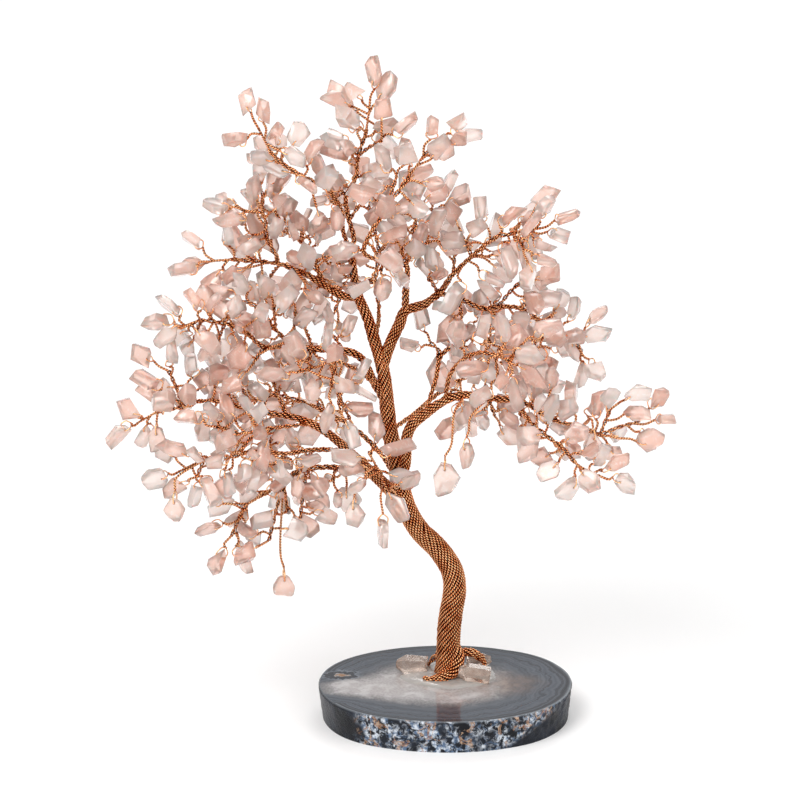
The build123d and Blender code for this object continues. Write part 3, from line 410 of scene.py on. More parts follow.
def frame_at(spot: Vector, *axes: Vector) -> Matrix:
    """Give the frame that stands at a place and has the three directions as its axes."""
    matrix = Matrix(axes).transposed().to_4x4()
    matrix.translation = spot
    return matrix


def of_kind(found: Sequence[object], kind: type) -> list:
    """Pick the vertices, edges or faces out of what a bmesh operator gave."""
    return [part for part in found if isinstance(part, kind)]


def merged(node: str) -> bmesh.types.BMesh:
    """Copy a node's mesh, in place, with its triangles joined up into flat faces."""
    mesh = bmesh.new()
    mesh.from_mesh(frame["nodes"][node].data)
    bmesh.ops.remove_doubles(mesh, verts=mesh.verts, dist=0.002 * MM)
    bmesh.ops.dissolve_limit(mesh, angle_limit=math.radians(1), verts=mesh.verts, edges=mesh.edges)
    mesh.normal_update()
    return mesh


def islands(mesh: bmesh.types.BMesh) -> list[bmesh.types.BMesh]:
    """Split a bmesh into a new one for each of its separate solids."""
    mesh.verts.index_update()
    mesh.verts.ensure_lookup_table()
    waiting = {vert.index for vert in mesh.verts}
    found = []
    while waiting:
        group, edge = set(), [min(waiting)]
        while edge:
            index = edge.pop()
            if index in group:
                continue
            group.add(index)
            edge += [link.other_vert(mesh.verts[index]).index for link in mesh.verts[index].link_edges]
        waiting -= group
        solid = mesh.copy()
        others = [vert for vert in solid.verts if vert.index not in group]
        bmesh.ops.delete(solid, geom=others, context="VERTS")
        found.append(solid)
    return found


def chamfer(shape: bmesh.types.BMesh, edges: Sequence[bmesh.types.BMEdge], width: float) -> None:
    """Break the edges of a solid.

    Args:
        shape: The solid.
        edges: Those of its edges that are broken.
        width: Distance of the new edges from the old ones.
    """
    bmesh.ops.bevel(shape, geom=edges, offset=width, offset_type="OFFSET", segments=1, profile=0.5,
                    affect="EDGES", material=-1, clamp_overlap=True)
    bmesh.ops.recalc_face_normals(shape, faces=shape.faces)


def cut_off(shape: bmesh.types.BMesh, at: Vector, normal: Vector, above: bool = True) -> None:
    """Cut a solid along a plane and close the cut.

    Args:
        shape: The solid.
        at: A point of the plane.
        normal: The plane's normal.
        above: Whether the part that the normal points to goes, and not the other one.
    """
    cut = bmesh.ops.bisect_plane(
        shape, geom=shape.verts[:] + shape.edges[:] + shape.faces[:], dist=0.01 * MM, plane_co=at,
        plane_no=normal, clear_outer=above, clear_inner=not above,
    )["geom_cut"]
    rim = of_kind(cut, bmesh.types.BMEdge)
    if len(rim) > 2:
        bmesh.ops.contextual_create(shape, geom=rim)


def object_of(name: str, mesh: bpy.types.Mesh, finishes: Sequence[bpy.types.Material]) -> bpy.types.Object:
    """Link a finished mesh as an object at the origin.

    Args:
        name: Name of the piece.
        mesh: Its mesh, in place.
        finishes: Materials in the order of the faces' indices.

    Returns:
        The object.
    """
    mesh.name = name
    for finish in finishes:
        mesh.materials.append(finish)
    piece = bpy.data.objects.new(name, mesh)
    bpy.context.scene.collection.objects.link(piece)
    return piece


def piece_of(name: str, shape: bmesh.types.BMesh, finishes: Sequence[bpy.types.Material],
             crease: float = 40) -> bpy.types.Object:
    """Turn a bmesh into an object with soft shading over all but its sharp edges.

    Args:
        name: Name of the piece.
        shape: The bmesh, freed here.
        finishes: Materials in the order of the faces' indices.
        crease: Angle in degrees past which an edge stays sharp.

    Returns:
        The object.
    """
    shape.normal_update()
    for face in shape.faces:
        face.smooth = True
    for edge in shape.edges:
        edge.smooth = len(edge.link_faces) != 2 or edge.calc_face_angle(0) < math.radians(crease)
    mesh = bpy.data.meshes.new(name)
    shape.to_mesh(mesh)
    shape.free()
    return object_of(name, mesh, finishes)


def mark(mesh: bpy.types.Mesh, name: str, values: Sequence[float]) -> None:
    """Store a value for each vertex, for the materials to read.

    Args:
        mesh: The mesh.
        name: Name of the values.
        values: One for each vertex.
    """
    mesh.attributes.new(name, "FLOAT", "POINT").data.foreach_set("value", values)


def settle(piece: bpy.types.Object, body: str, node: str) -> None:
    """Tie a finished piece to the frame and report it.

    Args:
        piece: The piece, in place.
        body: The body that it rides on.
        node: The node that it stands for.
    """
    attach(piece, body)
    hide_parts(node)
    log.info("%s: %d faces on %s", piece.name, len(piece.data.polygons), body)


class Graph:
    """A material's nodes, added and joined a line at a time."""

    def __init__(self, name: str) -> None:
        """Start a material of that name."""
        self.material = bpy.data.materials.new(name)
        self.material.use_nodes = True
        self.tree = self.material.node_tree
        self.tree.nodes.clear()
        self.place = self.add("ShaderNodeTexCoord").outputs["Object"]

    def add(self, kind: str, values: Optional[dict] = None, **settings: object) -> bpy.types.Node:
        """Add a node.

        Args:
            kind: The node's type.
            values: What goes into its sockets, by name or number: a value, or another node's output.
            settings: Its own settings.

        Returns:
            The node.
        """
        node = self.tree.nodes.new(kind)
        for key, value in settings.items():
            setattr(node, key, value)
        for socket, value in (values or {}).items():
            if isinstance(value, bpy.types.NodeSocket):
                self.tree.links.new(value, node.inputs[socket])
            else:
                node.inputs[socket].default_value = value
        return node

    def noise(self, size: float, detail: float = 3, roughness: float = 0.55,
              warp: float = 0) -> bpy.types.NodeSocket:
        """Give a cloudy value.

        Args:
            size: Size of the clouds in metres.
            detail: How many finer layers there are.
            roughness: How strong the finer layers are.
            warp: How far the clouds are drawn out of shape.

        Returns:
            A value round a half.
        """
        values = {"Vector": self.place, "Scale": 1 / size, "Detail": detail, "Roughness": roughness}
        return self.add("ShaderNodeTexNoise", {**values, "Distortion": warp}).outputs["Fac"]

    def wander(self, low: float, high: float, size: float, detail: float = 3, roughness: float = 0.55,
               warp: float = 0) -> bpy.types.NodeSocket:
        """Give a cloudy value between two ends, with clouds as in noise."""
        return self.span(self.noise(size, detail, roughness, warp), 0.3, 0.7, low, high)

    def attribute(self, name: str) -> bpy.types.NodeSocket:
        """Read a value that the mesh holds."""
        return self.add("ShaderNodeAttribute", attribute_name=name).outputs["Fac"]

    def maths(self, kind: str, one: object, two: object = 0.0) -> bpy.types.NodeSocket:
        """Give the outcome of a Math node of that kind."""
        return self.add("ShaderNodeMath", {0: one, 1: two}, operation=kind).outputs[0]

    def product(self, *factors: object) -> bpy.types.NodeSocket:
        """Multiply values."""
        found = factors[0]
        for factor in factors[1:]:
            found = self.maths("MULTIPLY", found, factor)
        return found

    def vector(self, kind: str, one: object, two: Optional[Triple] = None) -> bpy.types.Node:
        """Give the Vector Math node of that kind."""
        return self.add("ShaderNodeVectorMath", {0: one} if two is None else {0: one, 1: two}, operation=kind)

    def span(self, value: bpy.types.NodeSocket, low: float, high: float, out_low: float = 0,
             out_high: float = 1) -> bpy.types.NodeSocket:
        """Stretch a value.

        Args:
            value: What is stretched.
            low: The value that comes out as out_low.
            high: The value that comes out as out_high.
            out_low: First end of the result.
            out_high: Other end of the result.

        Returns:
            The result, kept between its ends.
        """
        return self.add("ShaderNodeMapRange", {
            "Value": value, "From Min": low, "From Max": high, "To Min": out_low, "To Max": out_high,
        }).outputs["Result"]

    def ramp(self, value: bpy.types.NodeSocket, stops: Stops) -> bpy.types.NodeSocket:
        """Turn a value into colours.

        Args:
            value: What is looked up.
            stops: Position from 0 to 1 and colour of each stop.

        Returns:
            The colour.
        """
        node = self.add("ShaderNodeValToRGB", {"Fac": value})
        elements = node.color_ramp.elements
        while len(elements) < len(stops):
            elements.new(0.5)
        for element, (at, colour) in zip(elements, stops):
            element.position = at
        for element, (at, colour) in zip(elements, stops):
            element.color = (*colour, 1)
        return node.outputs["Color"]

    def mix(self, share: object, one: object, two: object) -> bpy.types.NodeSocket:
        """Mix two colours.

        Args:
            share: How much of the second there is.
            one: First colour, as three numbers or an output.
            two: Second colour.

        Returns:
            The mixed colour.
        """
        first, second = [(*each, 1) if isinstance(each, tuple) else each for each in (one, two)]
        return self.add("ShaderNodeMix", {0: share, 6: first, 7: second}, data_type="RGBA").outputs[2]

    def bump(self, height: bpy.types.NodeSocket, depth: float, strength: float) -> bpy.types.NodeSocket:
        """Give the normal bent by a pattern of some depth in metres."""
        values = {"Height": height, "Distance": depth, "Strength": strength}
        return self.add("ShaderNodeBump", values).outputs["Normal"]

    def done(self, **values: object) -> bpy.types.Material:
        """Close the material with a Principled shader.

        Args:
            values: Its sockets' values, named with underscores for spaces.

        Returns:
            The material.
        """
        sockets = {key.replace("_", " "): value for key, value in values.items()}
        shader = self.add("ShaderNodeBsdfPrincipled", sockets)
        self.add("ShaderNodeOutputMaterial", {"Surface": shader.outputs[0]})
        return self.material


@dataclass(frozen=True)
class CopperFinish:
    """Copper wire, orange, with painted shade (near black, then red) where the turns meet and on the sides that
    face the other wire, and a painted golden highlight on its rounds.
    """

    # Near black and red are painted shade for the gaps and inner sides, orange is the copper, golden is a
    # painted highlight on the open rounds.
    stops: Stops = (
        (0.58, (0.030, 0.004, 0.001)), (0.79, (0.42, 0.040, 0.005)), (0.91, (0.95, 0.31, 0.080)),
        (1.00, (1.0, 0.66, 0.36)),
    )
    # Reach of the ambient occlusion that paints shade into the gaps.
    shade_reach: float = 1.1 * MM
    roughness: tuple[float, float] = (0.14, 0.30)

    def build(self) -> bpy.types.Material:
        """Give the material."""
        graph = Graph("copper")
        # Ambient occlusion paints shade into the gaps between the turns.
        room = graph.add("ShaderNodeAmbientOcclusion", {"Distance": self.shade_reach}, samples=8,
                         only_local=True).outputs["AO"]
        # Painted shade on the side of each wire that faces the other wire of its pair.
        pair_side_shade = graph.span(graph.attribute("outward"), -0.9, 0.7, 0.35, 1.0)
        shade_to_highlight = graph.maths("ADD", graph.maths("MINIMUM", room, pair_side_shade), graph.wander(-0.07, 0.07, 3.5 * MM, 2))
        # The ramp turns this into painted shade in the hollows and a painted golden highlight on the open
        # rounds.
        return graph.done(
            Base_Color=graph.ramp(shade_to_highlight, self.stops), Metallic=1.0,
            Roughness=graph.wander(*self.roughness, 0.6 * MM, 2),
            Normal=graph.bump(graph.noise(0.25 * MM, 2), 0.01 * MM, 0.5),
        )


@dataclass(frozen=True)
class RoseFinish:
    """Tumbled rose quartz: milky pink glass with pale veins and a waxy polish, with painted shade in a deeper
    pink where its faces turn away from the eye.
    """

    stops: Stops = ((0.05, (1.0, 0.86, 0.81)), (0.45, (1.0, 0.77, 0.69)), (0.95, (0.98, 0.64, 0.53)))
    milk: Colour = (1.0, 0.96, 0.94)
    # Deeper pink painted as shade where a face turns away from the eye.
    edge: Colour = (0.80, 0.40, 0.33)
    transmission: float = 0.68
    milkiness: float = 0.6
    scatter: Triple = (2.4 * MM, 1.5 * MM, 1.4 * MM)

    def build(self) -> bpy.types.Material:
        """Give the material."""
        graph = Graph("rose_quartz")
        stain = graph.maths("ADD", graph.attribute("tint"), graph.wander(-0.18, 0.18, 3.0 * MM, 4, 0.6, 0.6))
        vein = graph.span(graph.noise(1.6 * MM, 5, 0.65, 1.5), 0.55, 0.66)
        veined = graph.mix(graph.product(vein, 0.8), graph.ramp(stain, self.stops), self.milk)
        # Painted shade: faces seen at a slant darken toward the deeper pink.
        grazing_shade = graph.add("ShaderNodeLayerWeight", {"Blend": 0.25}).outputs["Facing"]
        return graph.done(
            Base_Color=graph.mix(graph.span(grazing_shade, 0.35, 0.95, 0.0, 0.55), veined, self.edge),
            Roughness=graph.wander(0.02, 0.12, 1.0 * MM), IOR=1.54, Transmission_Weight=self.transmission,
            Subsurface_Weight=self.milkiness, Subsurface_Radius=self.scatter, Subsurface_Scale=1.0,
            Coat_Weight=0.5, Coat_Roughness=0.03, Normal=graph.bump(graph.noise(1.7 * MM, 2), 0.12 * MM, 0.6),
        )


@dataclass(frozen=True)
class ClearQuartzFinish:
    """Clear quartz with brownish depths and a few veils."""

    stops: Stops = ((0.35, (0.88, 0.76, 0.68)), (0.70, (0.55, 0.36, 0.26)))
    white: Colour = (0.96, 0.96, 0.95)

    def build(self) -> bpy.types.Material:
        """Give the material."""
        graph = Graph("clear_quartz")
        depth = graph.ramp(graph.noise(3.5 * MM, 3, 0.6, 1.0), self.stops)
        veil = graph.span(graph.noise(1.2 * MM, 5, 0.7, 2.0), 0.55, 0.68)
        return graph.done(
            Base_Color=graph.mix(graph.product(veil, 0.5), depth, self.white), Roughness=0.04, IOR=1.54,
            Transmission_Weight=0.8, Normal=graph.bump(graph.noise(2.2 * MM, 3), 0.12 * MM, 0.5),
        )


@dataclass(frozen=True)
class ResinFinish:
    """Clear hard resin, faintly warm, with a wavy skin."""

    tone: Colour = (0.80, 0.77, 0.73)
    cloud: Colour = (0.70, 0.66, 0.60)

    def build(self) -> bpy.types.Material:
        """Give the material."""
        graph = Graph("resin")
        share = graph.span(graph.noise(4.0 * MM, 4), 0.4, 0.75)
        return graph.done(
            Base_Color=graph.mix(graph.product(share, 0.5), self.tone, self.cloud), Roughness=0.08, IOR=1.5,
            Transmission_Weight=0.55, Coat_Weight=0.5,
            Normal=graph.bump(graph.noise(2.6 * MM, 2), 0.5 * MM, 0.7),
        )


@dataclass(frozen=True)
class AgateFaceFinish:
    """Polished face of the slice: grey-blue bands along the rim round a milky, sugary middle."""

    bands: Stops = (
        (0.000, (0.30, 0.33, 0.36)), (0.010, (0.010, 0.012, 0.018)), (0.045, (0.016, 0.020, 0.030)),
        (0.090, (0.055, 0.066, 0.088)), (0.120, (0.026, 0.032, 0.046)), (0.180, (0.064, 0.076, 0.098)),
        (0.240, (0.036, 0.044, 0.060)), (0.300, (0.080, 0.090, 0.110)), (0.360, (0.055, 0.060, 0.075)),
        (0.450, (0.150, 0.145, 0.150)), (0.600, (0.36, 0.34, 0.34)), (1.000, (0.32, 0.29, 0.27)),
    )
    fine_band: Colour = (0.17, 0.19, 0.22)
    fine_bands_per_turn: float = 190.0
    sugar: Colour = (0.62, 0.60, 0.59)
    patch: Colour = (0.66, 0.65, 0.66)
    stain: Colour = (0.24, 0.15, 0.10)
    stain_at: Triple = (19 * MM, 0, SLICE_THICKNESS)
    stain_size: tuple[float, float] = (17 * MM, 15 * MM)
    eye: Stops = (
        (0.00, (0.26, 0.13, 0.06)), (0.26, (0.30, 0.17, 0.09)), (0.36, (0.34, 0.33, 0.33)),
        (0.42, (0.012, 0.014, 0.022)), (0.80, (0.020, 0.024, 0.036)), (0.92, (0.20, 0.23, 0.27)),
    )
    eye_at: Triple = (-34.7 * MM, 8.5 * MM, SLICE_THICKNESS)
    eye_size: tuple[float, float] = (6.4 * MM, 4.6 * MM)

    @staticmethod
    def spot(graph: Graph, at: Triple, size: tuple[float, float]) -> bpy.types.NodeSocket:
        """Give the distance from a spot in shares of its size.

        Args:
            graph: The material's nodes.
            at: Middle of the spot.
            size: Its half length and half width.

        Returns:
            0 in the middle and 1 at the edge.
        """
        moved = graph.vector("ADD", graph.place, tuple(-part for part in at)).outputs[0]
        scaled = graph.vector("MULTIPLY", moved, (1 / size[0], 1 / size[1], 0)).outputs[0]
        return graph.vector("LENGTH", scaled).outputs["Value"]

    def depth(self, graph: Graph) -> bpy.types.NodeSocket:
        """Give the way in from the rim, longer on a milky tongue at the left and shorter at the right."""
        split = graph.add("ShaderNodeSeparateXYZ", {0: graph.place}).outputs
        tongue = graph.product(
            graph.span(split[0], -12 * MM, -34 * MM), graph.span(split[1], 9 * MM, -1 * MM),
            graph.span(split[1], -20 * MM, -9 * MM),
        )
        rim = graph.maths("ADD", graph.attribute("rim"), graph.product(tongue, 0.42))
        return graph.product(rim, graph.span(split[0], 5 * MM, 38 * MM, 1.0, 0.62))

    def build(self) -> bpy.types.Material:
        """Give the material."""
        graph = Graph("agate_face")
        rim = self.depth(graph)
        waver = graph.span(graph.noise(9 * MM, 3, 0.5, 0.6), 0.25, 0.75, -0.045, 0.045)
        inward = graph.maths("ADD", rim, graph.product(waver, graph.span(rim, 0.0, 0.15)))
        fine = graph.maths("SINE", graph.product(inward, self.fine_bands_per_turn))
        middle = graph.span(rim, 0.32, 0.55)
        grains = graph.add("ShaderNodeTexVoronoi", {"Vector": graph.place, "Scale": 1 / (0.9 * MM)})
        stained = graph.span(self.spot(graph, self.stain_at, self.stain_size), 1.0, 0.3)
        layers = (
            (graph.product(graph.span(fine, -1, 1), graph.span(rim, 0.05, 0.5, 0.30, 0.0)), self.fine_band),
            (graph.product(graph.span(grains.outputs["Distance"], 0.1, 0.8), middle, 0.35), self.sugar),
            (graph.product(graph.span(graph.noise(6 * MM, 4, 0.6), 0.50, 0.62), middle, 0.45), self.patch),
            (graph.product(stained, graph.span(graph.noise(6 * MM, 4, 0.6), 0.25, 0.60), 0.55), self.stain),
        )
        colour = graph.ramp(inward, self.bands)
        for share, tone in layers:
            colour = graph.mix(share, colour, tone)
        ring = graph.maths("ADD", self.spot(graph, self.eye_at, self.eye_size),
                           graph.wander(-0.25, 0.25, 2 * MM, 2))
        colour = graph.mix(graph.span(ring, 1.15, 0.80), colour, graph.ramp(ring, self.eye))
        return graph.done(
            Base_Color=colour, Roughness=graph.wander(0.05, 0.13, 5 * MM), IOR=1.54, Specular_IOR_Level=0.27,
            Normal=graph.bump(graph.noise(1.2 * MM, 3), 0.015 * MM, 0.4),
        )


@dataclass(frozen=True)
class AgateBarkFinish:
    """Rough rind of the slice: navy black with white, pale blue and rusty mottling, smoother on its left."""

    ground: Stops = ((0.40, (0.003, 0.004, 0.007)), (0.70, (0.018, 0.023, 0.036)))
    blue: Colour = (0.13, 0.20, 0.32)
    pale: Colour = (0.72, 0.77, 0.84)
    rust: Colour = (0.26, 0.10, 0.04)
    sand: Colour = (0.62, 0.42, 0.28)
    line: Colour = (0.30, 0.33, 0.36)

    def build(self) -> bpy.types.Material:
        """Give the material."""
        graph = Graph("agate_bark")
        split = graph.add("ShaderNodeSeparateXYZ", {0: graph.place}).outputs
        low_right = graph.maths("ADD", graph.product(split[0], 0.55), graph.product(split[2], -1.0))
        rough_part = graph.product(graph.span(split[0], -31 * MM, -26 * MM),
                                   graph.span(low_right, 9 * MM, 12 * MM, 1.0, 0.0))
        flakes = graph.product(graph.span(graph.noise(2.6 * MM, 6, 0.75, 1.0), 0.46, 0.56),
                               graph.span(graph.noise(9 * MM, 2, 0.5, 0.5), 0.38, 0.50), rough_part)
        frost = graph.mix(graph.span(graph.noise(1.6 * MM, 4, 0.6), 0.42, 0.58), self.blue, self.pale)
        edge = graph.noise(4.6 * MM, 4, 0.6, 0.8)
        rusty = graph.product(graph.span(edge, 0.56, 0.585), graph.span(edge, 0.65, 0.62), rough_part, 0.75)
        rust = graph.mix(graph.span(graph.noise(1.1 * MM, 3), 0.4, 0.6), self.rust, self.sand)
        line = graph.product(graph.span(graph.attribute("rim"), -0.014, -0.004), 0.35)
        colour = graph.ramp(graph.noise(6 * MM, 3, 0.5), self.ground)
        for share, tone in ((flakes, frost), (rusty, rust), (line, self.line)):
            colour = graph.mix(share, colour, tone)
        return graph.done(
            Base_Color=colour, Roughness=graph.span(flakes, 0, 1, 0.34, 0.55), IOR=1.5,
            Specular_IOR_Level=0.22, Normal=graph.bump(graph.noise(1.4 * MM, 6, 0.7), 0.5 * MM, 0.8),
        )


class Line:
    """A smooth line through points, with sideways directions that don't spin along it."""

    def __init__(self, points: Sequence[Vector], step: float) -> None:
        """Run the line.

        Args:
            points: The points it goes through.
            step: Distance between its own points.
        """
        self.at = self.rounded(np.array([tuple(point) for point in points], float), step)
        gaps = np.linalg.norm(np.diff(self.at, axis=0), axis=1)
        self.way = np.concatenate([[0.0], np.cumsum(gaps)])
        self.length = float(self.way[-1])
        run = np.gradient(self.at, axis=0)
        self.along = run / np.linalg.norm(run, axis=1, keepdims=True)
        self.across = self.carried(self.along)
        self.side = np.cross(self.along, self.across)

    @staticmethod
    def rounded(given: np.ndarray, step: float) -> np.ndarray:
        """Round the corners of a run of points.

        Args:
            given: The points.
            step: Distance between the new points.

        Returns:
            The points of a Catmull-Rom line through them.
        """
        ends = np.concatenate([[2 * given[0] - given[1]], given, [2 * given[-1] - given[-2]]])
        parts = []
        for before, start, end, after in zip(ends, ends[1:], ends[2:], ends[3:]):
            count = max(2, math.ceil(np.linalg.norm(end - start) / step))
            t = (np.arange(count) / count)[:, None]
            parts.append(0.5 * (
                2 * start + (end - before) * t + (2 * before - 5 * start + 4 * end - after) * t ** 2
                + (3 * start - before - 3 * end + after) * t ** 3
            ))
        return np.concatenate(parts + [given[-1:]])

    @staticmethod
    def carried(along: np.ndarray) -> np.ndarray:
        """Give a unit vector square to each direction of a line, carried down it without spin."""
        first = np.array((0.0, 1.0, 0.0)) if abs(along[0][1]) < 0.9 else np.array((1.0, 0.0, 0.0))
        found = np.zeros_like(along)
        for rank, direction in enumerate(along):
            first = first - direction * first.dot(direction)
            first = first / np.linalg.norm(first)
            found[rank] = first
        return found

    def beside(self, radius: np.ndarray, turn: np.ndarray) -> np.ndarray:
        """Give points at a distance and angle from the line."""
        spread = np.cos(turn)[:, None] * self.across + np.sin(turn)[:, None] * self.side
        return self.at + radius[:, None] * spread


@dataclass
class Wiring:
    """Copper wires of one bundle, gathered as runs and swept into one mesh.

    Args:
        name: Name of the piece.
        twist_pitch: Length of one turn of a twisted pair.
        step: Distance between a wire's points.
        wire_radius: Radius of one wire.
        lay: Length on which a pair goes once round its bundle, in the bundle's radii.
        few: Bundles' radii, in pairs' radii, under which one, two or three pairs lie round them.
        core: How far inside the bundle its filling stays, in pairs' radii.
        blend: How many points before and behind one share its number of pairs.
        fade: Length on which a pair sinks in before it leaves the bundle.
        sway: Least and greatest way that a pair strays out.
    """

    name: str
    twist_pitch: float = 1.9 * MM
    step: float = 0.27 * MM
    wire_radius: float = 0.20 * MM
    lay: float = 8.5
    few: Triple = (1.2, 1.7, 2.2)
    core: float = 1.9
    blend: int = 6
    fade: float = 6 * MM
    sway: tuple[float, float] = (-0.06, 0.12)
    runs: list[tuple[np.ndarray, float, np.ndarray]] = field(default_factory=list)

    def wire(self, points: Sequence[Vector], thickness: float, step: Optional[float] = None) -> None:
        """Add one smooth wire.

        Args:
            points: The points it goes through.
            thickness: Its share of a wire's thickness.
            step: Distance between its points, or None for the usual one.
        """
        at = Line(points, step or self.step).at
        self.runs.append((at, thickness, at))

    def pair(self, line: Line, phase: float, thickness: float) -> None:
        """Add a twisted pair along a line.

        Args:
            line: Its middle.
            phase: Turn of its start, in radians.
            thickness: Its share of a pair's thickness.
        """
        turn = phase - 2 * math.pi * line.way / self.twist_pitch
        offset = np.full(len(line.way), self.wire_radius * thickness)
        for half in (0.0, math.pi):
            self.runs.append((line.beside(offset, turn + half), thickness, line.at))

    def pairs_shown(self, radius: float, pair: float) -> int:
        """Count the pairs that lie round a bundle.

        Args:
            radius: The bundle's radius.
            pair: A pair's radius.

        Returns:
            Their number.
        """
        for count, limit in enumerate(self.few, 1):
            if radius < limit * pair:
                return count
        return int(math.pi / math.asin(1.04 * pair / (radius - pair)))

    def bundle(self, points: Sequence[Vector], radii: Sequence[float], rng: random.Random,
               thickness: float = 1.15) -> None:
        """Add a bundle of pairs laid round each other, which thins as they leave it.

        Args:
            points: The points of its middle.
            radii: Its radius at each point.
            rng: Source of the small irregularities.
            thickness: Share of a pair's thickness.
        """
        pair = 2 * self.wire_radius * thickness
        line = Line(points, self.step * 2)
        given = np.array([tuple(point) for point in points], float)
        ways = [float(line.way[np.argmin(np.linalg.norm(line.at - point, axis=1))]) for point in given]
        radius = np.interp(line.way, ways, radii)
        inside, least_ring, dip = radius - pair, 0.97 * pair, 1.6 * pair
        shown = np.minimum.accumulate([self.pairs_shown(value, pair) for value in radius])
        window = 2 * self.blend + 1
        padded = np.pad(shown.astype(float), self.blend, mode="edge")
        spread = np.convolve(padded, np.ones(window) / window, mode="valid")
        turns = np.diff(line.way) / (self.lay * np.maximum(radius[1:], 1.8 * pair))
        laid = np.concatenate([[0.0], np.cumsum(turns)])
        for rank in range(int(shown[0])):
            last = int(np.nonzero(shown > rank)[0][-1]) + 1
            if last < self.blend:
                continue
            ring = np.where(spread < 1.5, 0.0, np.maximum(inside, least_ring))
            if last < len(line.way):
                left = (line.way[last - 1] - line.way) / self.fade
                ring = ring - dip * np.clip(1 - left, 0, 1) ** 2
            sway = rng.uniform(*self.sway) * MM
            sway = sway * np.sin(line.way / (rng.uniform(5, 9) * MM) + rng.uniform(0, 6))
            turn = 2 * math.pi * (laid + (rank + rng.uniform(-0.06, 0.06)) / spread)
            path = line.beside(np.maximum(ring + sway, 0.0), turn)[:last]
            strand = Line([Vector(point) for point in path[::2]] + [Vector(path[-1])], self.step)
            self.pair(strand, rng.uniform(0, 2 * math.pi), thickness)
        core = radius - self.core * pair
        filled = np.nonzero(core > self.wire_radius)[0]
        if core[0] > self.wire_radius and filled[-1] > 3:
            part = slice(0, int(filled[-1]) + 1, 2)
            self.runs.append((line.at[part], core[part] / self.wire_radius, line.at[part]))

    def outward(self, mesh: bpy.types.Mesh) -> np.ndarray:
        """Tell which way each vertex of the swept wires faces, for the copper's painted shade on the side that
        faces the other wire.

        Args:
            mesh: The swept wires.

        Returns:
            1 where it faces out of its pair, and -1 where it faces the other wire.
        """
        centres = np.concatenate([points for points, thickness, middle in self.runs])
        away = centres - np.concatenate([middle for points, thickness, middle in self.runs])
        away /= np.maximum(np.linalg.norm(away, axis=1, keepdims=True), 0.001 * MM)
        spots = np.empty(len(mesh.vertices) * 3, np.float32)
        mesh.vertices.foreach_get("co", spots)
        offsets = spots.reshape(len(centres), -1, 3) - centres[:, None]
        offsets /= np.maximum(np.linalg.norm(offsets, axis=2, keepdims=True), 0.001 * MM)
        facing = np.einsum("rsk,rk->rs", offsets, away)
        facing[np.linalg.norm(away, axis=1) < 0.5] = 1.0
        return facing.ravel().astype(np.float32)

    def build(self, finish: bpy.types.Material) -> bpy.types.Object:
        """Sweep all the runs and give the piece, in place."""
        curve = bpy.data.curves.new(self.name, "CURVE")
        curve.dimensions = "3D"
        curve.bevel_depth = self.wire_radius
        curve.bevel_resolution = 1
        for points, thickness, middle in self.runs:
            spline = curve.splines.new("POLY")
            spline.points.add(len(points) - 1)
            spline.points.foreach_set("co", np.hstack([points, np.ones((len(points), 1))]).ravel())
            spline.points.foreach_set("radius", np.full(len(points), thickness, np.float32))
        holder = bpy.data.objects.new(self.name + "_line", curve)
        bpy.context.scene.collection.objects.link(holder)
        bpy.context.view_layer.update()
        mesh = bpy.data.meshes.new_from_object(holder.evaluated_get(bpy.context.evaluated_depsgraph_get()))
        bpy.data.objects.remove(holder)
        bpy.data.curves.remove(curve)
        mesh.materials.clear()
        mesh.polygons.foreach_set("use_smooth", np.ones(len(mesh.polygons), bool))
        # Facing values that the copper uses for painted shade between the two wires of a pair.
        mark(mesh, "outward", self.outward(mesh))
        shape = bmesh.new()
        shape.from_mesh(mesh)
        bmesh.ops.holes_fill(shape, edges=[edge for edge in shape.edges if edge.is_boundary], sides=0)
        shape.to_mesh(mesh)
        shape.free()
        return object_of(self.name, mesh, [finish])


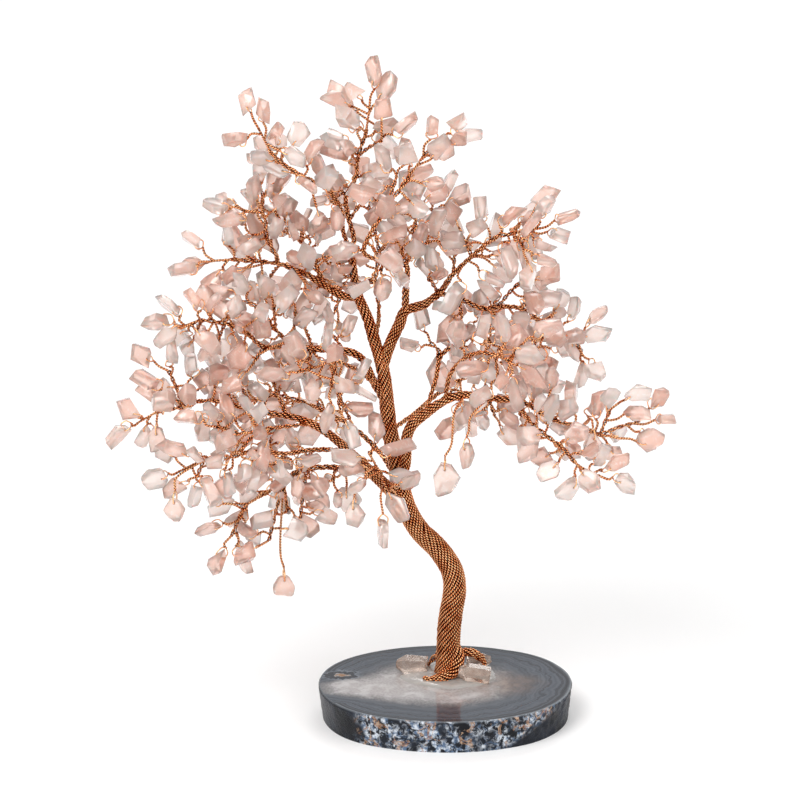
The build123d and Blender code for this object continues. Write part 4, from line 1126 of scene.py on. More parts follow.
@dataclass
class Chip:
    """One drilled chip of rose quartz.

    Args:
        stone: Its solid with flat faces, in place.
        hole: Frame with its origin in the hole, x along the chip and z out of the face away from the twig.
        thickness: Distance between its two big faces.
        twig_start: Where its wires leave the bough.
        twig_end: Where its twig ends beside it.
        tint: How pink it is, from 0 to 1.
        hole_radius: Radius of its hole.
        rounding: Width of its broken edges.
        unevenness: How far its corners stray in the plane of its big faces.
        box_gap: How far its corners stay inside the frame's box.
        wire_gap: Distance of the wire's middle from its big faces.
        twist_gap: Distance from its edge to where the two wires meet.
        wedge: Change of thickness along it, for each millimetre.
        lean: Change of thickness across it, for each millimetre.
        stretch: Change of its length.
        flakes: Least number of its flakes and the number that it stays under.
        flake_turn: Greatest heading of a flake from its far end, in radians.
        flake_slope: Slope of a flake out of the plane of its big faces.
        flake_reach: Share of the way to the corner at which a flake is split off.
    """

    stone: bmesh.types.BMesh
    hole: Matrix
    thickness: float
    twig_start: Vector
    twig_end: Vector
    tint: float
    hole_radius: float = 0.42 * MM
    rounding: float = 0.55 * MM
    unevenness: float = 0.9 * MM
    box_gap: float = 0.05 * MM
    wire_gap: float = 0.24 * MM
    twist_gap: float = 0.8 * MM
    wedge: tuple[float, float] = (-0.035, 0.05)
    lean: tuple[float, float] = (-0.06, 0.06)
    stretch: tuple[float, float] = (-0.06, 0.20)
    flakes: tuple[int, int] = (2, 5)
    flake_turn: float = 2.2
    flake_slope: tuple[float, float] = (0.25, 1.1)
    flake_reach: tuple[float, float] = (0.55, 0.80)

    def spans(self) -> tuple[Vector, Vector]:
        """Give the lowest and highest corner of the stone in the hole's frame."""
        back = self.hole.inverted()
        places = [back @ vert.co for vert in self.stone.verts]
        low = Vector(min(place[axis] for place in places) for axis in range(3))
        high = Vector(max(place[axis] for place in places) for axis in range(3))
        return low, high

    def box(self, margin: float) -> BVHTree:
        """Give the box round the stone for clearance tests, proud of it by a margin."""
        low, high = self.spans()
        size = high - low + Vector((2 * margin,) * 3)
        return box_tree(self.hole @ Matrix.Translation((low + high) / 2) @ Matrix.Diagonal((*size, 1)))

    def moved(self, hole: Matrix, scale: float, twig_start: Vector, twig_end: Vector, tint: float) -> "Chip":
        """Copy the chip to another place.

        Args:
            hole: The copy's hole frame.
            scale: The copy's size.
            twig_start: Where its wires leave the bough.
            twig_end: Where its twig ends.
            tint: Its tint.

        Returns:
            The copy.
        """
        stone = self.stone.copy()
        move = hole @ Matrix.Scale(scale, 4) @ self.hole.inverted()
        bmesh.ops.transform(stone, matrix=move, verts=stone.verts)
        return Chip(stone, hole, self.thickness * scale, twig_start, twig_end, tint)

    def tumbled(self, rng: random.Random) -> bmesh.types.BMesh:
        """Give the stone out of true, with flakes off its corners, drilled and rounded.

        Args:
            rng: Source of its irregular outline.

        Returns:
            The stone's bmesh.
        """
        self.skew(rng)
        self.chop(rng)
        edges = list(self.stone.edges)
        self.drill()
        chamfer(self.stone, [edge for edge in edges if edge.is_valid], self.rounding)
        return self.stone

    def skew(self, rng: random.Random) -> None:
        """Shift the stone's corners, within the frame's box.

        Args:
            rng: Source of the shifts.
        """
        back, turn = self.hole.inverted(), self.hole.to_3x3()
        wedge, lean = rng.uniform(*self.wedge) / MM, rng.uniform(*self.lean) / MM
        stretch = rng.uniform(*self.stretch)
        for vert in self.stone.verts:
            local = back @ vert.co
            flat = Vector((local.x, local.y, 0))
            inward = -flat.normalized() if flat.length > 3 * self.hole_radius else Vector()
            slip = inward * rng.uniform(-0.8, 0.8) * self.unevenness
            slip += Vector((-inward.y, inward.x, 0)) * rng.uniform(-0.7, 0.7) * self.unevenness
            slip.x += stretch * local.x
            slip.z = local.z * max(-0.4, min(0.25, wedge * local.x + lean * local.y))
            vert.co += turn @ slip
            vert.co = Vector(
                min(max(value, low + self.box_gap), high - self.box_gap)
                for value, low, high in zip(vert.co, cad_low, cad_high)
            )

    def chop(self, rng: random.Random) -> None:
        """Split flakes off the stone's far corners, so that its faces lie askew.

        Args:
            rng: Source of the cuts.
        """
        low, high = self.spans()
        turn = self.hole.to_3x3()
        for attempt in range(rng.randrange(*self.flakes)):
            around = rng.uniform(-self.flake_turn, self.flake_turn)
            slope = rng.choice((-1, 1)) * rng.uniform(*self.flake_slope)
            outward = Vector((math.cos(around), math.sin(around), slope)).normalized()
            far = Vector(tuple(high[axis] if outward[axis] > 0 else low[axis] for axis in range(3)))
            reach = outward.dot(far) * rng.uniform(*self.flake_reach)
            if reach >= 1.5 * self.hole_radius + MM:
                cut_off(self.stone, self.hole @ (outward * reach), turn @ outward)
        bmesh.ops.recalc_face_normals(self.stone, faces=self.stone.faces)

    def drill(self) -> None:
        """Drill the hole through the two big faces."""
        shape, back = self.stone, self.hole.inverted()
        rings = []
        for face in sorted(shape.faces, key=lambda face: -face.calc_area())[:2]:
            height = (back @ face.calc_center_median()).z
            middle = bmesh.ops.poke(shape, faces=[face])["faces"]
            centre = set.intersection(*[set(part.verts) for part in middle]).pop()
            centre.co = self.hole @ Vector((0, 0, height))
            made = bmesh.ops.bevel(shape, geom=[centre], offset=self.hole_radius, offset_type="OFFSET",
                                   segments=1, profile=0.5, affect="VERTICES", material=-1)
            mouth = max(made["faces"], key=lambda part: len(part.verts))
            rings += list(mouth.edges)
            bmesh.ops.delete(shape, geom=[mouth], context="FACES_ONLY")
        bmesh.ops.bridge_loops(shape, edges=rings)

    def loop(self) -> tuple[list[Vector], list[Vector]]:
        """Give the points of its twisted pair and of the single wire that loops through its hole."""
        middle, out_of = self.hole.translation, self.hole.col[2].to_3d()
        toward = self.twig_start - middle
        toward = (toward - out_of * toward.dot(out_of)).normalized()
        edge = max((vert.co - middle).dot(toward) for vert in self.stone.verts)
        split = middle + toward * (edge + self.twist_gap) - out_of * (0.10 * self.thickness)
        face = out_of * (self.thickness / 2 + self.wire_gap)
        near, far = middle - face, middle + face
        shoulder = toward * edge * 0.92
        pair = [self.twig_start, self.twig_start.lerp(self.twig_end, 0.45), split]
        return pair, [split, near + shoulder, near, middle, far, far + shoulder, split]


def box_tree(matrix: Matrix) -> BVHTree:
    """Give the tree of a cube that a matrix has stretched and placed."""
    shape = bmesh.new()
    bmesh.ops.create_cube(shape, size=1.0, matrix=matrix)
    tree = BVHTree.FromBMesh(shape)
    shape.free()
    return tree


def bar_tree(start: Vector, end: Vector, radius: float) -> BVHTree:
    """Give the tree of a thin bar between two points, from half its width."""
    along = end - start
    turn = along.to_track_quat("Z", "Y").to_matrix().to_4x4()
    size = Matrix.Diagonal((2 * radius, 2 * radius, along.length, 1))
    return box_tree(Matrix.Translation((start + end) / 2) @ turn @ size)


class Plan:
    """The limbs' points and the number of chips that each carries."""

    def __init__(self) -> None:
        """Place the limbs."""
        self.points: dict[str, list[Vector]] = {
            "trunk": [place(spot) for spot in TRUNK_PATH],
            "leader": [place(spot) for spot in LEADER_PATH],
        }
        for name, limb in LIMBS.items():
            start = self.points[limb.origin][limb.vertex]
            self.points[name] = [start] + [place(spot) for spot in limb.path]

    def beyond(self, name: str, vertex: int) -> int:
        """Count the chips whose wires still run in a limb past one of its points."""
        own = sum(spray.solids + len(spray.extras) for spray in LIMBS[name].sprays if spray.vertex > vertex)
        hung = sum(1 for hanger in HANGERS.values() if hanger.limb == name and hanger.vertex > vertex)
        leaving = [other for other, limb in LIMBS.items() if limb.origin == name and limb.vertex > vertex]
        return own + hung + sum(self.beyond(other, -1) for other in leaving)

    def radii(self, name: str) -> list[float]:
        """Give a limb's radius at each of its points."""
        runs = [
            max(STEM_RADIUS, STRAND_RADIUS * math.sqrt(self.beyond(name, rank)))
            for rank in range(len(self.points[name]) - 1)
        ]
        inner = [(before + after) / 2 for before, after in zip(runs, runs[1:])]
        return [runs[0]] + inner + [TWIG_RADIUS if runs[-1] <= STEM_RADIUS else runs[-1]]

    def stems(self, name: str) -> list[tuple[Vector, Vector, int]]:
        """Give the ends of each forked spray's stem and its number of chips."""
        return [
            (self.points[name][spray.vertex], place(spray.fork), spray.solids + len(spray.extras))
            for spray in LIMBS[name].sprays if spray.fork
        ]


@dataclass
class Bough:
    """The limbs that leave the tree as one bundle, with their twigs and chips.

    Args:
        name: Name of the bough.
        limbs: Its limbs.
        plan: The places of all limbs.
        rng: Source of its irregularities.
        seat: Distance from a twig's middle to the face of its chip.
        cap_side: Side of the three-sided end of a twig.
        cap_slack: How far such a side may be off.
        longest_twig: Length over which nothing counts as a twig.
        bare_start: Length of a further twig that may run into its bough.
        spacing: Distance between the twigs of one spray.
        scales: Least and greatest size share of a further chip.
        heading_play: Degrees off its heading, at the first attempt and added until the last.
        tilt_play: The same off the plane that faces the eye.
        roll_play: Greatest turn about its twig, in radians.
        yaw_play: Greatest turn in the plane of its big faces, in radians.
        reach_play: Least and greatest share of its reach, and what is added until the last attempt.
    """

    name: str
    limbs: tuple[str, ...]
    plan: Plan
    rng: random.Random
    seat: float = TWIG_RADIUS + SEAT_GAP
    cap_side: float = math.sqrt(3) * TWIG_RADIUS
    cap_slack: float = 0.004 * MM
    longest_twig: float = 22 * MM
    bare_start: float = 1.8 * MM
    spacing: float = 2 * MM
    scales: tuple[float, float] = (0.90, 1.22)
    heading_play: tuple[float, float] = (5, 60)
    tilt_play: tuple[float, float] = (30, 45)
    roll_play: float = 1.5
    yaw_play: float = 0.55
    reach_play: Triple = (0.85, 1.15, 0.5)
    chips: list[Chip] = field(default_factory=list)

    def runs(self) -> list[tuple[Vector, Vector]]:
        """Give the straight runs that twigs can leave."""
        found = []
        for limb in self.limbs:
            points = self.plan.points[limb]
            found += list(zip(points, points[1:]))
            found += [(start, end) for start, end, count in self.plan.stems(limb)]
        return found

    def twig_ends(self) -> list[tuple[Vector, Vector]]:
        """Find the place and direction of each twig's end in the bough's wires."""
        wires = merged(f"{self.name}_wires")
        found = []
        for face in wires.faces:
            sides = [edge.calc_length() for edge in face.edges]
            if len(sides) == 3 and all(abs(side - self.cap_side) < self.cap_slack for side in sides):
                found.append((face.calc_center_median(), face.normal.copy()))
        wires.free()
        return found

    def start_of(self, end: Vector, along: Vector) -> Vector:
        """Find where a twig leaves the bough.

        Args:
            end: The twig's end.
            along: Its direction.

        Returns:
            The place on the bough's runs that lies in line with it.
        """
        best, found = math.inf, end - along * CHIP_REACH / 2
        for first, last in self.runs():
            crossing = intersect_line_line(end, end - along, first, last)
            if crossing is None:
                continue
            run = last - first
            share = min(1.0, max(0.0, (crossing[1] - first).dot(run) / run.length_squared))
            spot = first + run * share
            back = (end - spot).dot(along)
            gap = (end - along * back - spot).length
            if MM < back < self.longest_twig and gap < best:
                best, found = gap, spot
        return found

    def misfit(self, apart: Vector, out_of: Vector, thickness: float) -> float:
        """Tell how ill a twig's end suits a stone.

        Args:
            apart: From the stone's middle to the twig's end.
            out_of: The way out of the stone's big face.
            thickness: Distance between its big faces.

        Returns:
            0 or little more where the twig ends at the stone's face, and more elsewhere.
        """
        depth = apart.dot(out_of)
        flat = (apart - out_of * depth).length
        beside = max(0.0, flat - CHIP_LENGTH * 0.4)
        return abs(abs(depth) - thickness / 2 - self.seat) + beside * 2 + flat * 0.02

    def read(self) -> None:
        """Read the bough's chips and twigs from the frame."""
        caps = self.twig_ends()
        whole = merged(f"{self.name}_chips")
        for stone in islands(whole):
            face = max(stone.faces, key=lambda part: part.calc_area())
            centre = sum((vert.co for vert in stone.verts), Vector()) / len(stone.verts)
            out_of = face.normal.copy()
            depths = [(vert.co - centre).dot(out_of) for vert in stone.verts]
            thickness = max(depths) - min(depths)
            misfits = [self.misfit(cap[0] - centre, out_of, thickness) for cap in caps]
            end, along = caps.pop(misfits.index(min(misfits)))
            if (end - centre).dot(out_of) > 0:
                out_of.negate()
            hole = end + out_of * (thickness / 2 + self.seat)
            length = centre - hole
            length = (length - out_of * length.dot(out_of)).normalized()
            matrix = frame_at(hole, length, out_of.cross(length), out_of)
            start = self.start_of(end, along)
            self.chips.append(Chip(stone, matrix, thickness, start, end, self.rng.random()))
        whole.free()

    def add_chip(self, start: Vector, heading: float, reach: float, room: "Room") -> bool:
        """Find room for one more chip, further off its heading with each attempt.

        Args:
            start: Where its twig leaves.
            heading: Its heading in degrees.
            reach: Distance from there to its middle.
            room: What it keeps clear of.

        Returns:
            Whether it found room.
        """
        rng = self.rng
        for attempt in range(room.tries):
            loose = attempt / room.tries
            model = self.chips[rng.randrange(len(self.chips))]
            scale = rng.uniform(*self.scales) - 0.25 * loose
            (tight, more), (level, tilted) = self.heading_play, self.tilt_play
            heading_now = heading + rng.uniform(-1, 1) * (tight + more * loose)
            along = heading_vector(heading_now, rng.uniform(-1, 1) * (level + tilted * loose))
            near, far, further = self.reach_play
            half = CHIP_LENGTH * scale * 0.28
            end = start + along * (reach * rng.uniform(near, far + further * loose) - half)
            out_of = (room.eye - along * room.eye.dot(along)).normalized()
            roll = rng.uniform(-self.roll_play, self.roll_play) + rng.choice((0, math.pi))
            out_of.rotate(Matrix.Rotation(roll, 3, along))
            length = along.copy()
            length.rotate(Matrix.Rotation(rng.uniform(-self.yaw_play, self.yaw_play), 3, out_of))
            hole = end + out_of * (model.thickness * scale / 2 + self.seat)
            matrix = frame_at(hole, length, out_of.cross(length), out_of)
            chip = model.moved(matrix, scale, start, end, rng.random())
            free = bar_tree(start + along * self.bare_start, end, TWIG_RADIUS)
            if room.clear(chip, free):
                room.hold(chip, free)
                self.chips.append(chip)
                return True
            chip.stone.free()
        return False

    def fill(self, room: "Room") -> int:
        """Add the further chips of every spray, with one of chance heading each.

        Args:
            room: What they keep clear of.

        Returns:
            How many found room.
        """
        found = 0
        for limb in self.limbs:
            points = self.plan.points[limb]
            for spray in LIMBS[limb].sprays:
                fork = place(spray.fork) if spray.fork else points[spray.vertex]
                before = points[spray.vertex] if spray.fork else points[spray.vertex - 1]
                for rank, heading in enumerate(spray.extras + (self.rng.uniform(0, 360),)):
                    back = min(self.spacing * (rank + spray.solids) / (before - fork).length, 0.8)
                    found += self.add_chip(fork.lerp(before, back), heading, CHIP_REACH * spray.reach, room)
        return found

    def wires(self, finish: bpy.types.Material) -> None:
        """Build the bough's wires."""
        wiring = Wiring(f"{self.name}_strands")
        for limb in self.limbs:
            wiring.bundle(self.plan.points[limb], self.plan.radii(limb), self.rng)
            for start, end, count in self.plan.stems(limb):
                middle = start.lerp(end, 0.5) + UP * (0.4 * MM)
                radius = STEM_RADIUS if count < 3 else STEM_RADIUS * 1.35
                wiring.bundle([start, middle, end], [radius] * 3, self.rng, 1.0)
        for chip in self.chips:
            pair, loop = chip.loop()
            wiring.pair(Line(pair, wiring.step), self.rng.uniform(0, 6), 1.25)
            wiring.wire(loop, 1.1, 0.45 * MM)
        for name, hanger in HANGERS.items():
            if hanger.limb in self.limbs:
                HangingChip(name, hanger, self.plan).hang(wiring)
        settle(wiring.build(finish), TREE_BODY, f"{self.name}_wires")

    def stones(self, finish: bpy.types.Material) -> None:
        """Build the bough's chips."""
        whole, tints = bmesh.new(), []
        for chip in self.chips:
            stone = chip.tumbled(self.rng)
            part = bpy.data.meshes.new("stone")
            stone.to_mesh(part)
            stone.free()
            whole.from_mesh(part)
            tints += [chip.tint] * len(part.vertices)
            bpy.data.meshes.remove(part)
        piece = piece_of(f"{self.name}_stones", whole, [finish], crease=50)
        mark(piece.data, "tint", tints)
        settle(piece, TREE_BODY, f"{self.name}_chips")


class Room:
    """What a further chip keeps clear of: the frame's solids, the hanging chips' swing and each other."""

    tries = 40
    margin = 0.06 * MM
    near = 30 * MM
    eye = Vector((0, -1, 0.32))

    def __init__(self, plan: Plan) -> None:
        """Gather the solids.

        Args:
            plan: The places of all limbs.
        """
        whole = bmesh.new()
        for node in frame["nodes"].values():
            whole.from_mesh(node.data)
        for name, hanger in HANGERS.items():
            bmesh.ops.create_cube(whole, size=1.0, matrix=HangingChip(name, hanger, plan).swing_box())
        self.solids = BVHTree.FromBMesh(whole)
        whole.free()
        self.held: list[tuple[Vector, BVHTree]] = []

    def clear(self, chip: Chip, twig: BVHTree) -> bool:
        """Tell whether a chip and its twig touch nothing and stay in the frame's box.

        Args:
            chip: The chip.
            twig: The free part of its twig.

        Returns:
            Whether there is room.
        """
        for vert in chip.stone.verts:
            if any(not low < value < high for low, value, high in zip(cad_low, vert.co, cad_high)):
                return False
        box, middle = chip.box(self.margin), chip.hole.translation
        trees = [self.solids] + [tree for spot, tree in self.held if (spot - middle).length < self.near]
        return not any(tree.overlap(box) or tree.overlap(twig) for tree in trees)

    def hold(self, chip: Chip, twig: BVHTree) -> None:
        """Keep a placed chip and its twig."""
        self.held += [(chip.hole.translation.copy(), tree) for tree in (chip.box(self.margin), twig)]


@dataclass
class HangingChip:
    """A chip that swings on a loop of single wire.

    Args:
        name: Name of its body and node.
        hanger: Where it hangs.
        plan: The places of all limbs.
        hole_radius: Radius of its hole.
        loop_radius: Radius of the loop's wire.
        side_gap: Gap between the loop's legs and its big faces.
        top_gap: Gap between the loop and its top as it swings.
        swing: Its greatest angle to each side.
    """

    name: str
    hanger: Hanger
    plan: Plan
    hole_radius: float = 0.5 * MM
    loop_radius: float = 0.25 * MM
    side_gap: float = 0.25 * MM
    top_gap: float = 0.5 * MM
    swing: float = math.radians(25)

    def __post_init__(self) -> None:
        """Take the hinge from the frame and work out the loop's sizes."""
        joint = next(each for each in frame["joints"] if each["child"] == self.name)
        self.pin = Vector(joint["pos_m"])
        self.axis = Vector(joint["axis"])
        self.across = UP.cross(self.axis)
        self.length = CHIP_LENGTH * self.hanger.size[0]
        self.width = CHIP_WIDTH * self.hanger.size[1]
        hole_inset = 3 * self.hole_radius
        self.drop = self.length / 2 - hole_inset
        self.rise = math.hypot(hole_inset, PENDANT_OUTLINE[0][0] * self.width / 2) + self.top_gap
        self.leg = PENDANT_THICKNESS / 2 + self.side_gap + self.loop_radius

    def swing_box(self) -> Matrix:
        """Give the box that the chip and its loop fill as it swings."""
        size = Matrix.Diagonal((
            2 * self.leg + 1.5 * MM, self.width + 2 * self.length * math.sin(self.swing) + MM,
            self.length + 2 * self.rise + MM, 1,
        ))
        return frame_at(self.pin - UP * self.drop, self.axis, self.across, UP) @ size

    def hang(self, wiring: Wiring) -> None:
        """Add its stem and loop to the wires that carry it."""
        top = self.pin + UP * (self.rise + self.leg)
        stem = [self.plan.points[self.hanger.limb][self.hanger.vertex]]
        stem += [place(spot) for spot in self.hanger.stem] + [top]
        wiring.pair(Line(stem, wiring.step), 0.0, 1.2)
        side = [
            self.axis * (out * self.leg) + UP * (up * self.rise)
            for out, up in ((1, 1), (1, 0.45), (0.86, 0.04), (0.5, 0))
        ]
        half = [self.pin + offset for offset in side]
        other = [self.pin + offset - 2 * self.axis * offset.dot(self.axis) for offset in reversed(side)]
        wiring.wire([top] + half + [self.pin] + other + [top], self.loop_radius / wiring.wire_radius)

    def build(self, finish: bpy.types.Material, rng: random.Random) -> None:
        """Build the chip.

        Args:
            finish: Its material.
            rng: Source of its irregularities.
        """
        matrix = frame_at(self.pin, self.across, UP, self.axis)
        shape = bmesh.new()
        corners = [(x * self.width / 2, y * self.length / 2 - self.drop) for x, y in PENDANT_OUTLINE]
        ring = [shape.verts.new(matrix @ Vector((x, y, -PENDANT_THICKNESS / 2))) for x, y in corners]
        made = bmesh.ops.extrude_face_region(shape, geom=[shape.faces.new(ring)])["geom"]
        raised = of_kind(made, bmesh.types.BMVert)
        bmesh.ops.translate(shape, vec=self.axis * PENDANT_THICKNESS, verts=raised)
        bmesh.ops.recalc_face_normals(shape, faces=shape.faces)
        chip = Chip(shape, matrix, PENDANT_THICKNESS, self.pin, self.pin, rng.uniform(0.3, 0.8),
                    hole_radius=self.hole_radius * 1.12, unevenness=1.1 * MM)
        piece = piece_of(f"{self.name}_stone", chip.tumbled(rng), [finish], crease=50)
        mark(piece.data, "tint", [chip.tint] * len(piece.data.vertices))
        settle(piece, self.name, self.name)


@dataclass
class Rope:
    """Trunk and leader: one rope of twisted pairs that thins as the boughs leave it.

    Args:
        plan: The places of all limbs.
        rng: Source of its irregularities.
        flare_reach: Height over which the foot is flared.
        thickness: Share of a pair's thickness.
        overlap: How many points the leader reaches down into the trunk, and the other way round.
        stride: Every how many points of the line one is taken.
    """

    plan: Plan
    rng: random.Random
    flare_reach: float = 10 * MM
    thickness: float = 1.35
    overlap: int = 2
    stride: int = 4

    def radius(self, way: float, split: float, end: float) -> float:
        """Give the rope's radius.

        Args:
            way: Distance from the foot along the rope.
            split: Length of the trunk.
            end: Length of the whole rope.

        Returns:
            The radius there.
        """
        if way >= split:
            share = (way - split) / (end - split)
            return LEADER_BASE_RADIUS + (LEADER_TIP_RADIUS - LEADER_BASE_RADIUS) * share
        flare = TRUNK_FLARE * max(0.0, 1 - way / self.flare_reach) ** 2
        return TRUNK_RADIUS + (LEADER_BASE_RADIUS - TRUNK_RADIUS) * (way / split) ** 2 + flare

    def build(self, finish: bpy.types.Material) -> None:
        """Build both pieces."""
        line = Line(self.plan.points["trunk"] + self.plan.points["leader"], MM)
        split = TRUNK_SHARE * line.length
        stops = [Vector(point) for point in line.at]
        radii = [self.radius(way, split, line.length) for way in line.way]
        cut = int(np.searchsorted(line.way, split))
        spans = (("trunk", slice(0, cut + self.overlap, self.stride)),
                 ("leader", slice(cut - self.overlap, None, self.stride)))
        for node, part in spans:
            wiring = Wiring(f"{node}_rope", twist_pitch=1.75 * MM, step=0.26 * MM)
            wiring.bundle(stops[part], radii[part], self.rng, self.thickness)
            settle(wiring.build(finish), TREE_BODY, node)


@dataclass
class Root:
    """Wires that part from the trunk's foot and lie down in the resin.

    Args:
        name: Name of the root.
        rng: Source of its irregularities.
        bulk: Share of the solid's thickness.
        tip_share: Share of that thickness at its end.
    """

    name: str
    rng: random.Random
    bulk: float = 1.4
    tip_share: float = 0.6

    def build(self, finish: bpy.types.Material) -> None:
        """Build the root."""
        path, share = ROOTS[self.name]
        radius = ROOT_RADIUS * share
        points = [FOOT + Vector((x * POOL_LENGTH, y * POOL_WIDTH, z * ROOT_RISE)) for x, y, z in path]
        for point in points[:-1]:
            point.z += (self.bulk - 1) * radius
        wiring = Wiring(f"{self.name}_strands")
        radii = [radius * self.bulk] * (len(points) - 1) + [radius * self.tip_share]
        wiring.bundle(points, radii, self.rng, 1.3)
        settle(wiring.build(finish), TREE_BODY, self.name)


@dataclass
class AgateSlice:
    """The slice: a polished face with rings for its bands, and a rough rind.

    Args:
        ring_count: How many points each ring has.
        face_steps: Width in millimetres of each ring from the rim inward.
        rim_scale: Way in from the rim that counts as 1 for the bands.
        edge_rounding: Width of the broken edge round the face.
        wall_levels: How many rings the wall has.
        draft: How far the wall leans in toward its foot.
        roughness: Depth of the rind's breaks.
        smooth_until: Place across up to which the rind is smoother.
        smooth_share: Share of the roughness there.
    """

    ring_count: int = 260
    face_steps: tuple[float, ...] = (0.5, 0.5, 0.6, 0.6, 0.8, 0.8, 1.0, 1.0, 1.3, 1.5, 1.8, 2.0, 2.4, 2.8)
    rim_scale: float = 40 * MM
    edge_rounding: float = 0.6 * MM
    wall_levels: int = 14
    draft: float = 1.6 * MM
    roughness: float = 0.75 * MM
    smooth_until: float = -20 * MM
    smooth_share: float = 0.35

    def outline(self) -> list[Vector]:
        """Give evenly spaced points round the top of the solid."""
        solid = merged("agate_slice")
        top = max(solid.faces, key=lambda face: face.calc_center_median().z + face.normal.z)
        ring = [tuple(vert.co) for vert in top.verts]
        solid.free()
        closed = np.array(ring + ring[:1])
        way = np.concatenate([[0.0], np.cumsum(np.linalg.norm(np.diff(closed, axis=0), axis=1))])
        spots = np.linspace(0, way[-1], self.ring_count, endpoint=False)
        return [Vector(tuple(np.interp(spot, way, closed[:, axis]) for axis in range(3))) for spot in spots]

    def top(self, shape: bmesh.types.BMesh, rim: bmesh.types.BMLayerItem) -> None:
        """Lay the polished face in rings, each with its way in from the rim.

        Args:
            shape: The slice.
            rim: Its values for the way in.
        """
        face = shape.faces.new([shape.verts.new(point) for point in self.outline()])
        face.normal_update()
        if face.normal.z < 0:
            face.normal_flip()
        inset = 0.0
        for step in self.face_steps:
            bmesh.ops.inset_region(shape, faces=[face], thickness=step * MM, use_boundary=True,
                                   use_even_offset=True)
            inset += step * MM
            for vert in face.verts:
                vert[rim] = inset / self.rim_scale
        for part in bmesh.ops.poke(shape, faces=[face])["verts"]:
            part[rim] = 1.0

    def wall(self, shape: bmesh.types.BMesh, rim: bmesh.types.BMLayerItem) -> list[bmesh.types.BMFace]:
        """Draw the wall down from the face's edge and close the underside.

        Args:
            shape: The slice.
            rim: Its values for the way in, below 0 on the wall.

        Returns:
            The faces of the wall and the underside.
        """
        edges, found = [edge for edge in shape.edges if edge.is_boundary], []
        fall = SLICE_THICKNESS / self.wall_levels
        for level in range(1, self.wall_levels + 1):
            made = bmesh.ops.extrude_edge_only(shape, edges=edges)["geom"]
            edges = [
                edge for edge in of_kind(made, bmesh.types.BMEdge)
                if all(len(vert.link_faces) <= 2 for vert in edge.verts)
            ]
            found += of_kind(made, bmesh.types.BMFace)
            widening = self.edge_rounding if level == 1 else -self.draft / self.wall_levels
            for vert in {vert for edge in edges for vert in edge.verts}:
                vert.co += Vector((vert.co.x, vert.co.y, 0)).normalized() * widening
                vert.co.z = max(0.0, SLICE_THICKNESS - fall * level)
                vert[rim] = -level / self.wall_levels * SLICE_THICKNESS / self.rim_scale
        return found + bmesh.ops.contextual_create(shape, geom=edges)["faces"]

    def roughen(self, faces: Sequence[bmesh.types.BMFace]) -> None:
        """Break the rind, more coarsely on the right than on the left.

        Args:
            faces: The faces of the wall and the underside.
        """
        top, bottom = SLICE_THICKNESS - 0.5 * MM, 0.2 * MM
        for vert in {vert for part in faces for vert in part.verts if bottom < vert.co.z < top}:
            coarse = noise.fractal(vert.co / (6 * MM), 1.0, 2.0, 4)
            fine = noise.fractal(vert.co / (1.5 * MM), 0.8, 2.0, 3)
            share = self.smooth_share if vert.co.x < self.smooth_until else 1.0
            depth = (0.5 + 0.5 * coarse + 0.35 * fine) * self.roughness * share
            vert.co -= Vector((vert.co.x, vert.co.y, 0)).normalized() * max(0.0, depth)

    def build(self, face_finish: bpy.types.Material, bark_finish: bpy.types.Material) -> None:
        """Build the slice.

        Args:
            face_finish: Material of the polished face.
            bark_finish: Material of the rind and underside.
        """
        shape = bmesh.new()
        rim = shape.verts.layers.float.new("rim")
        self.top(shape, rim)
        rind = self.wall(shape, rim)
        self.roughen(rind)
        bmesh.ops.recalc_face_normals(shape, faces=shape.faces)
        for part in rind:
            part.material_index = 1
        piece = piece_of("agate_slab", shape, [face_finish, bark_finish], crease=32)
        settle(piece, TREE_BODY, "agate_slice")


@dataclass
class ResinPool:
    """The clear puddle that glues the foot down.

    Args:
        rings: Share of the outline and rise in millimetres of each ring toward the foot.
        step: Distance between the outline's points.
        sink: How deep its floor lies in the slice.
        raggedness: How far its outline strays.
        shrink: How far its outline stays inside the solid's.
        wave: How far its top strays.
    """

    rings: tuple[tuple[float, float], ...] = (
        (0.975, 0.35), (0.94, 0.65), (0.89, 0.85), (0.80, 1.0), (0.66, 1.15), (0.45, 1.25), (0.2, 1.3)
    )
    step: float = 0.9 * MM
    sink: float = 0.15 * MM
    raggedness: float = 0.9 * MM
    shrink: float = 0.4 * MM
    wave: float = 0.16 * MM

    def build(self, finish: bpy.types.Material) -> None:
        """Build the pool."""
        corners = [
            Vector((FOOT.x + x * POOL_LENGTH / 2, FOOT.y + y * POOL_WIDTH / 2, 0)) for x, y in POOL_OUTLINE
        ]
        line = Line(corners + corners[:1], self.step)
        shape = bmesh.new()
        ring = [shape.verts.new((point[0], point[1], SLICE_THICKNESS - self.sink)) for point in line.at[:-1]]
        for vert in ring:
            ragged = self.raggedness * noise.noise(vert.co / (4 * MM)) - self.shrink
            vert.co += Vector((vert.co.x - FOOT.x, vert.co.y - FOOT.y, 0)).normalized() * ragged
        made = bmesh.ops.extrude_face_region(shape, geom=[shape.faces.new(ring)])["geom"]
        top = of_kind(made, bmesh.types.BMFace)[0]
        spots = [vert.co.copy() for vert in top.verts]
        for share, rise in self.rings:
            bmesh.ops.inset_region(shape, faces=[top], thickness=0.01 * MM)
            for vert, spot in zip(top.verts, spots):
                vert.co = Vector((FOOT.x + (spot.x - FOOT.x) * share, FOOT.y + (spot.y - FOOT.y) * share, 0))
                vert.co.z = SLICE_THICKNESS + rise * MM + self.wave * noise.noise(vert.co / (5 * MM))
        bmesh.ops.poke(shape, faces=[top])
        bmesh.ops.recalc_face_normals(shape, faces=shape.faces)
        settle(piece_of("resin_puddle", shape, [finish], crease=70), TREE_BODY, "resin_pool")


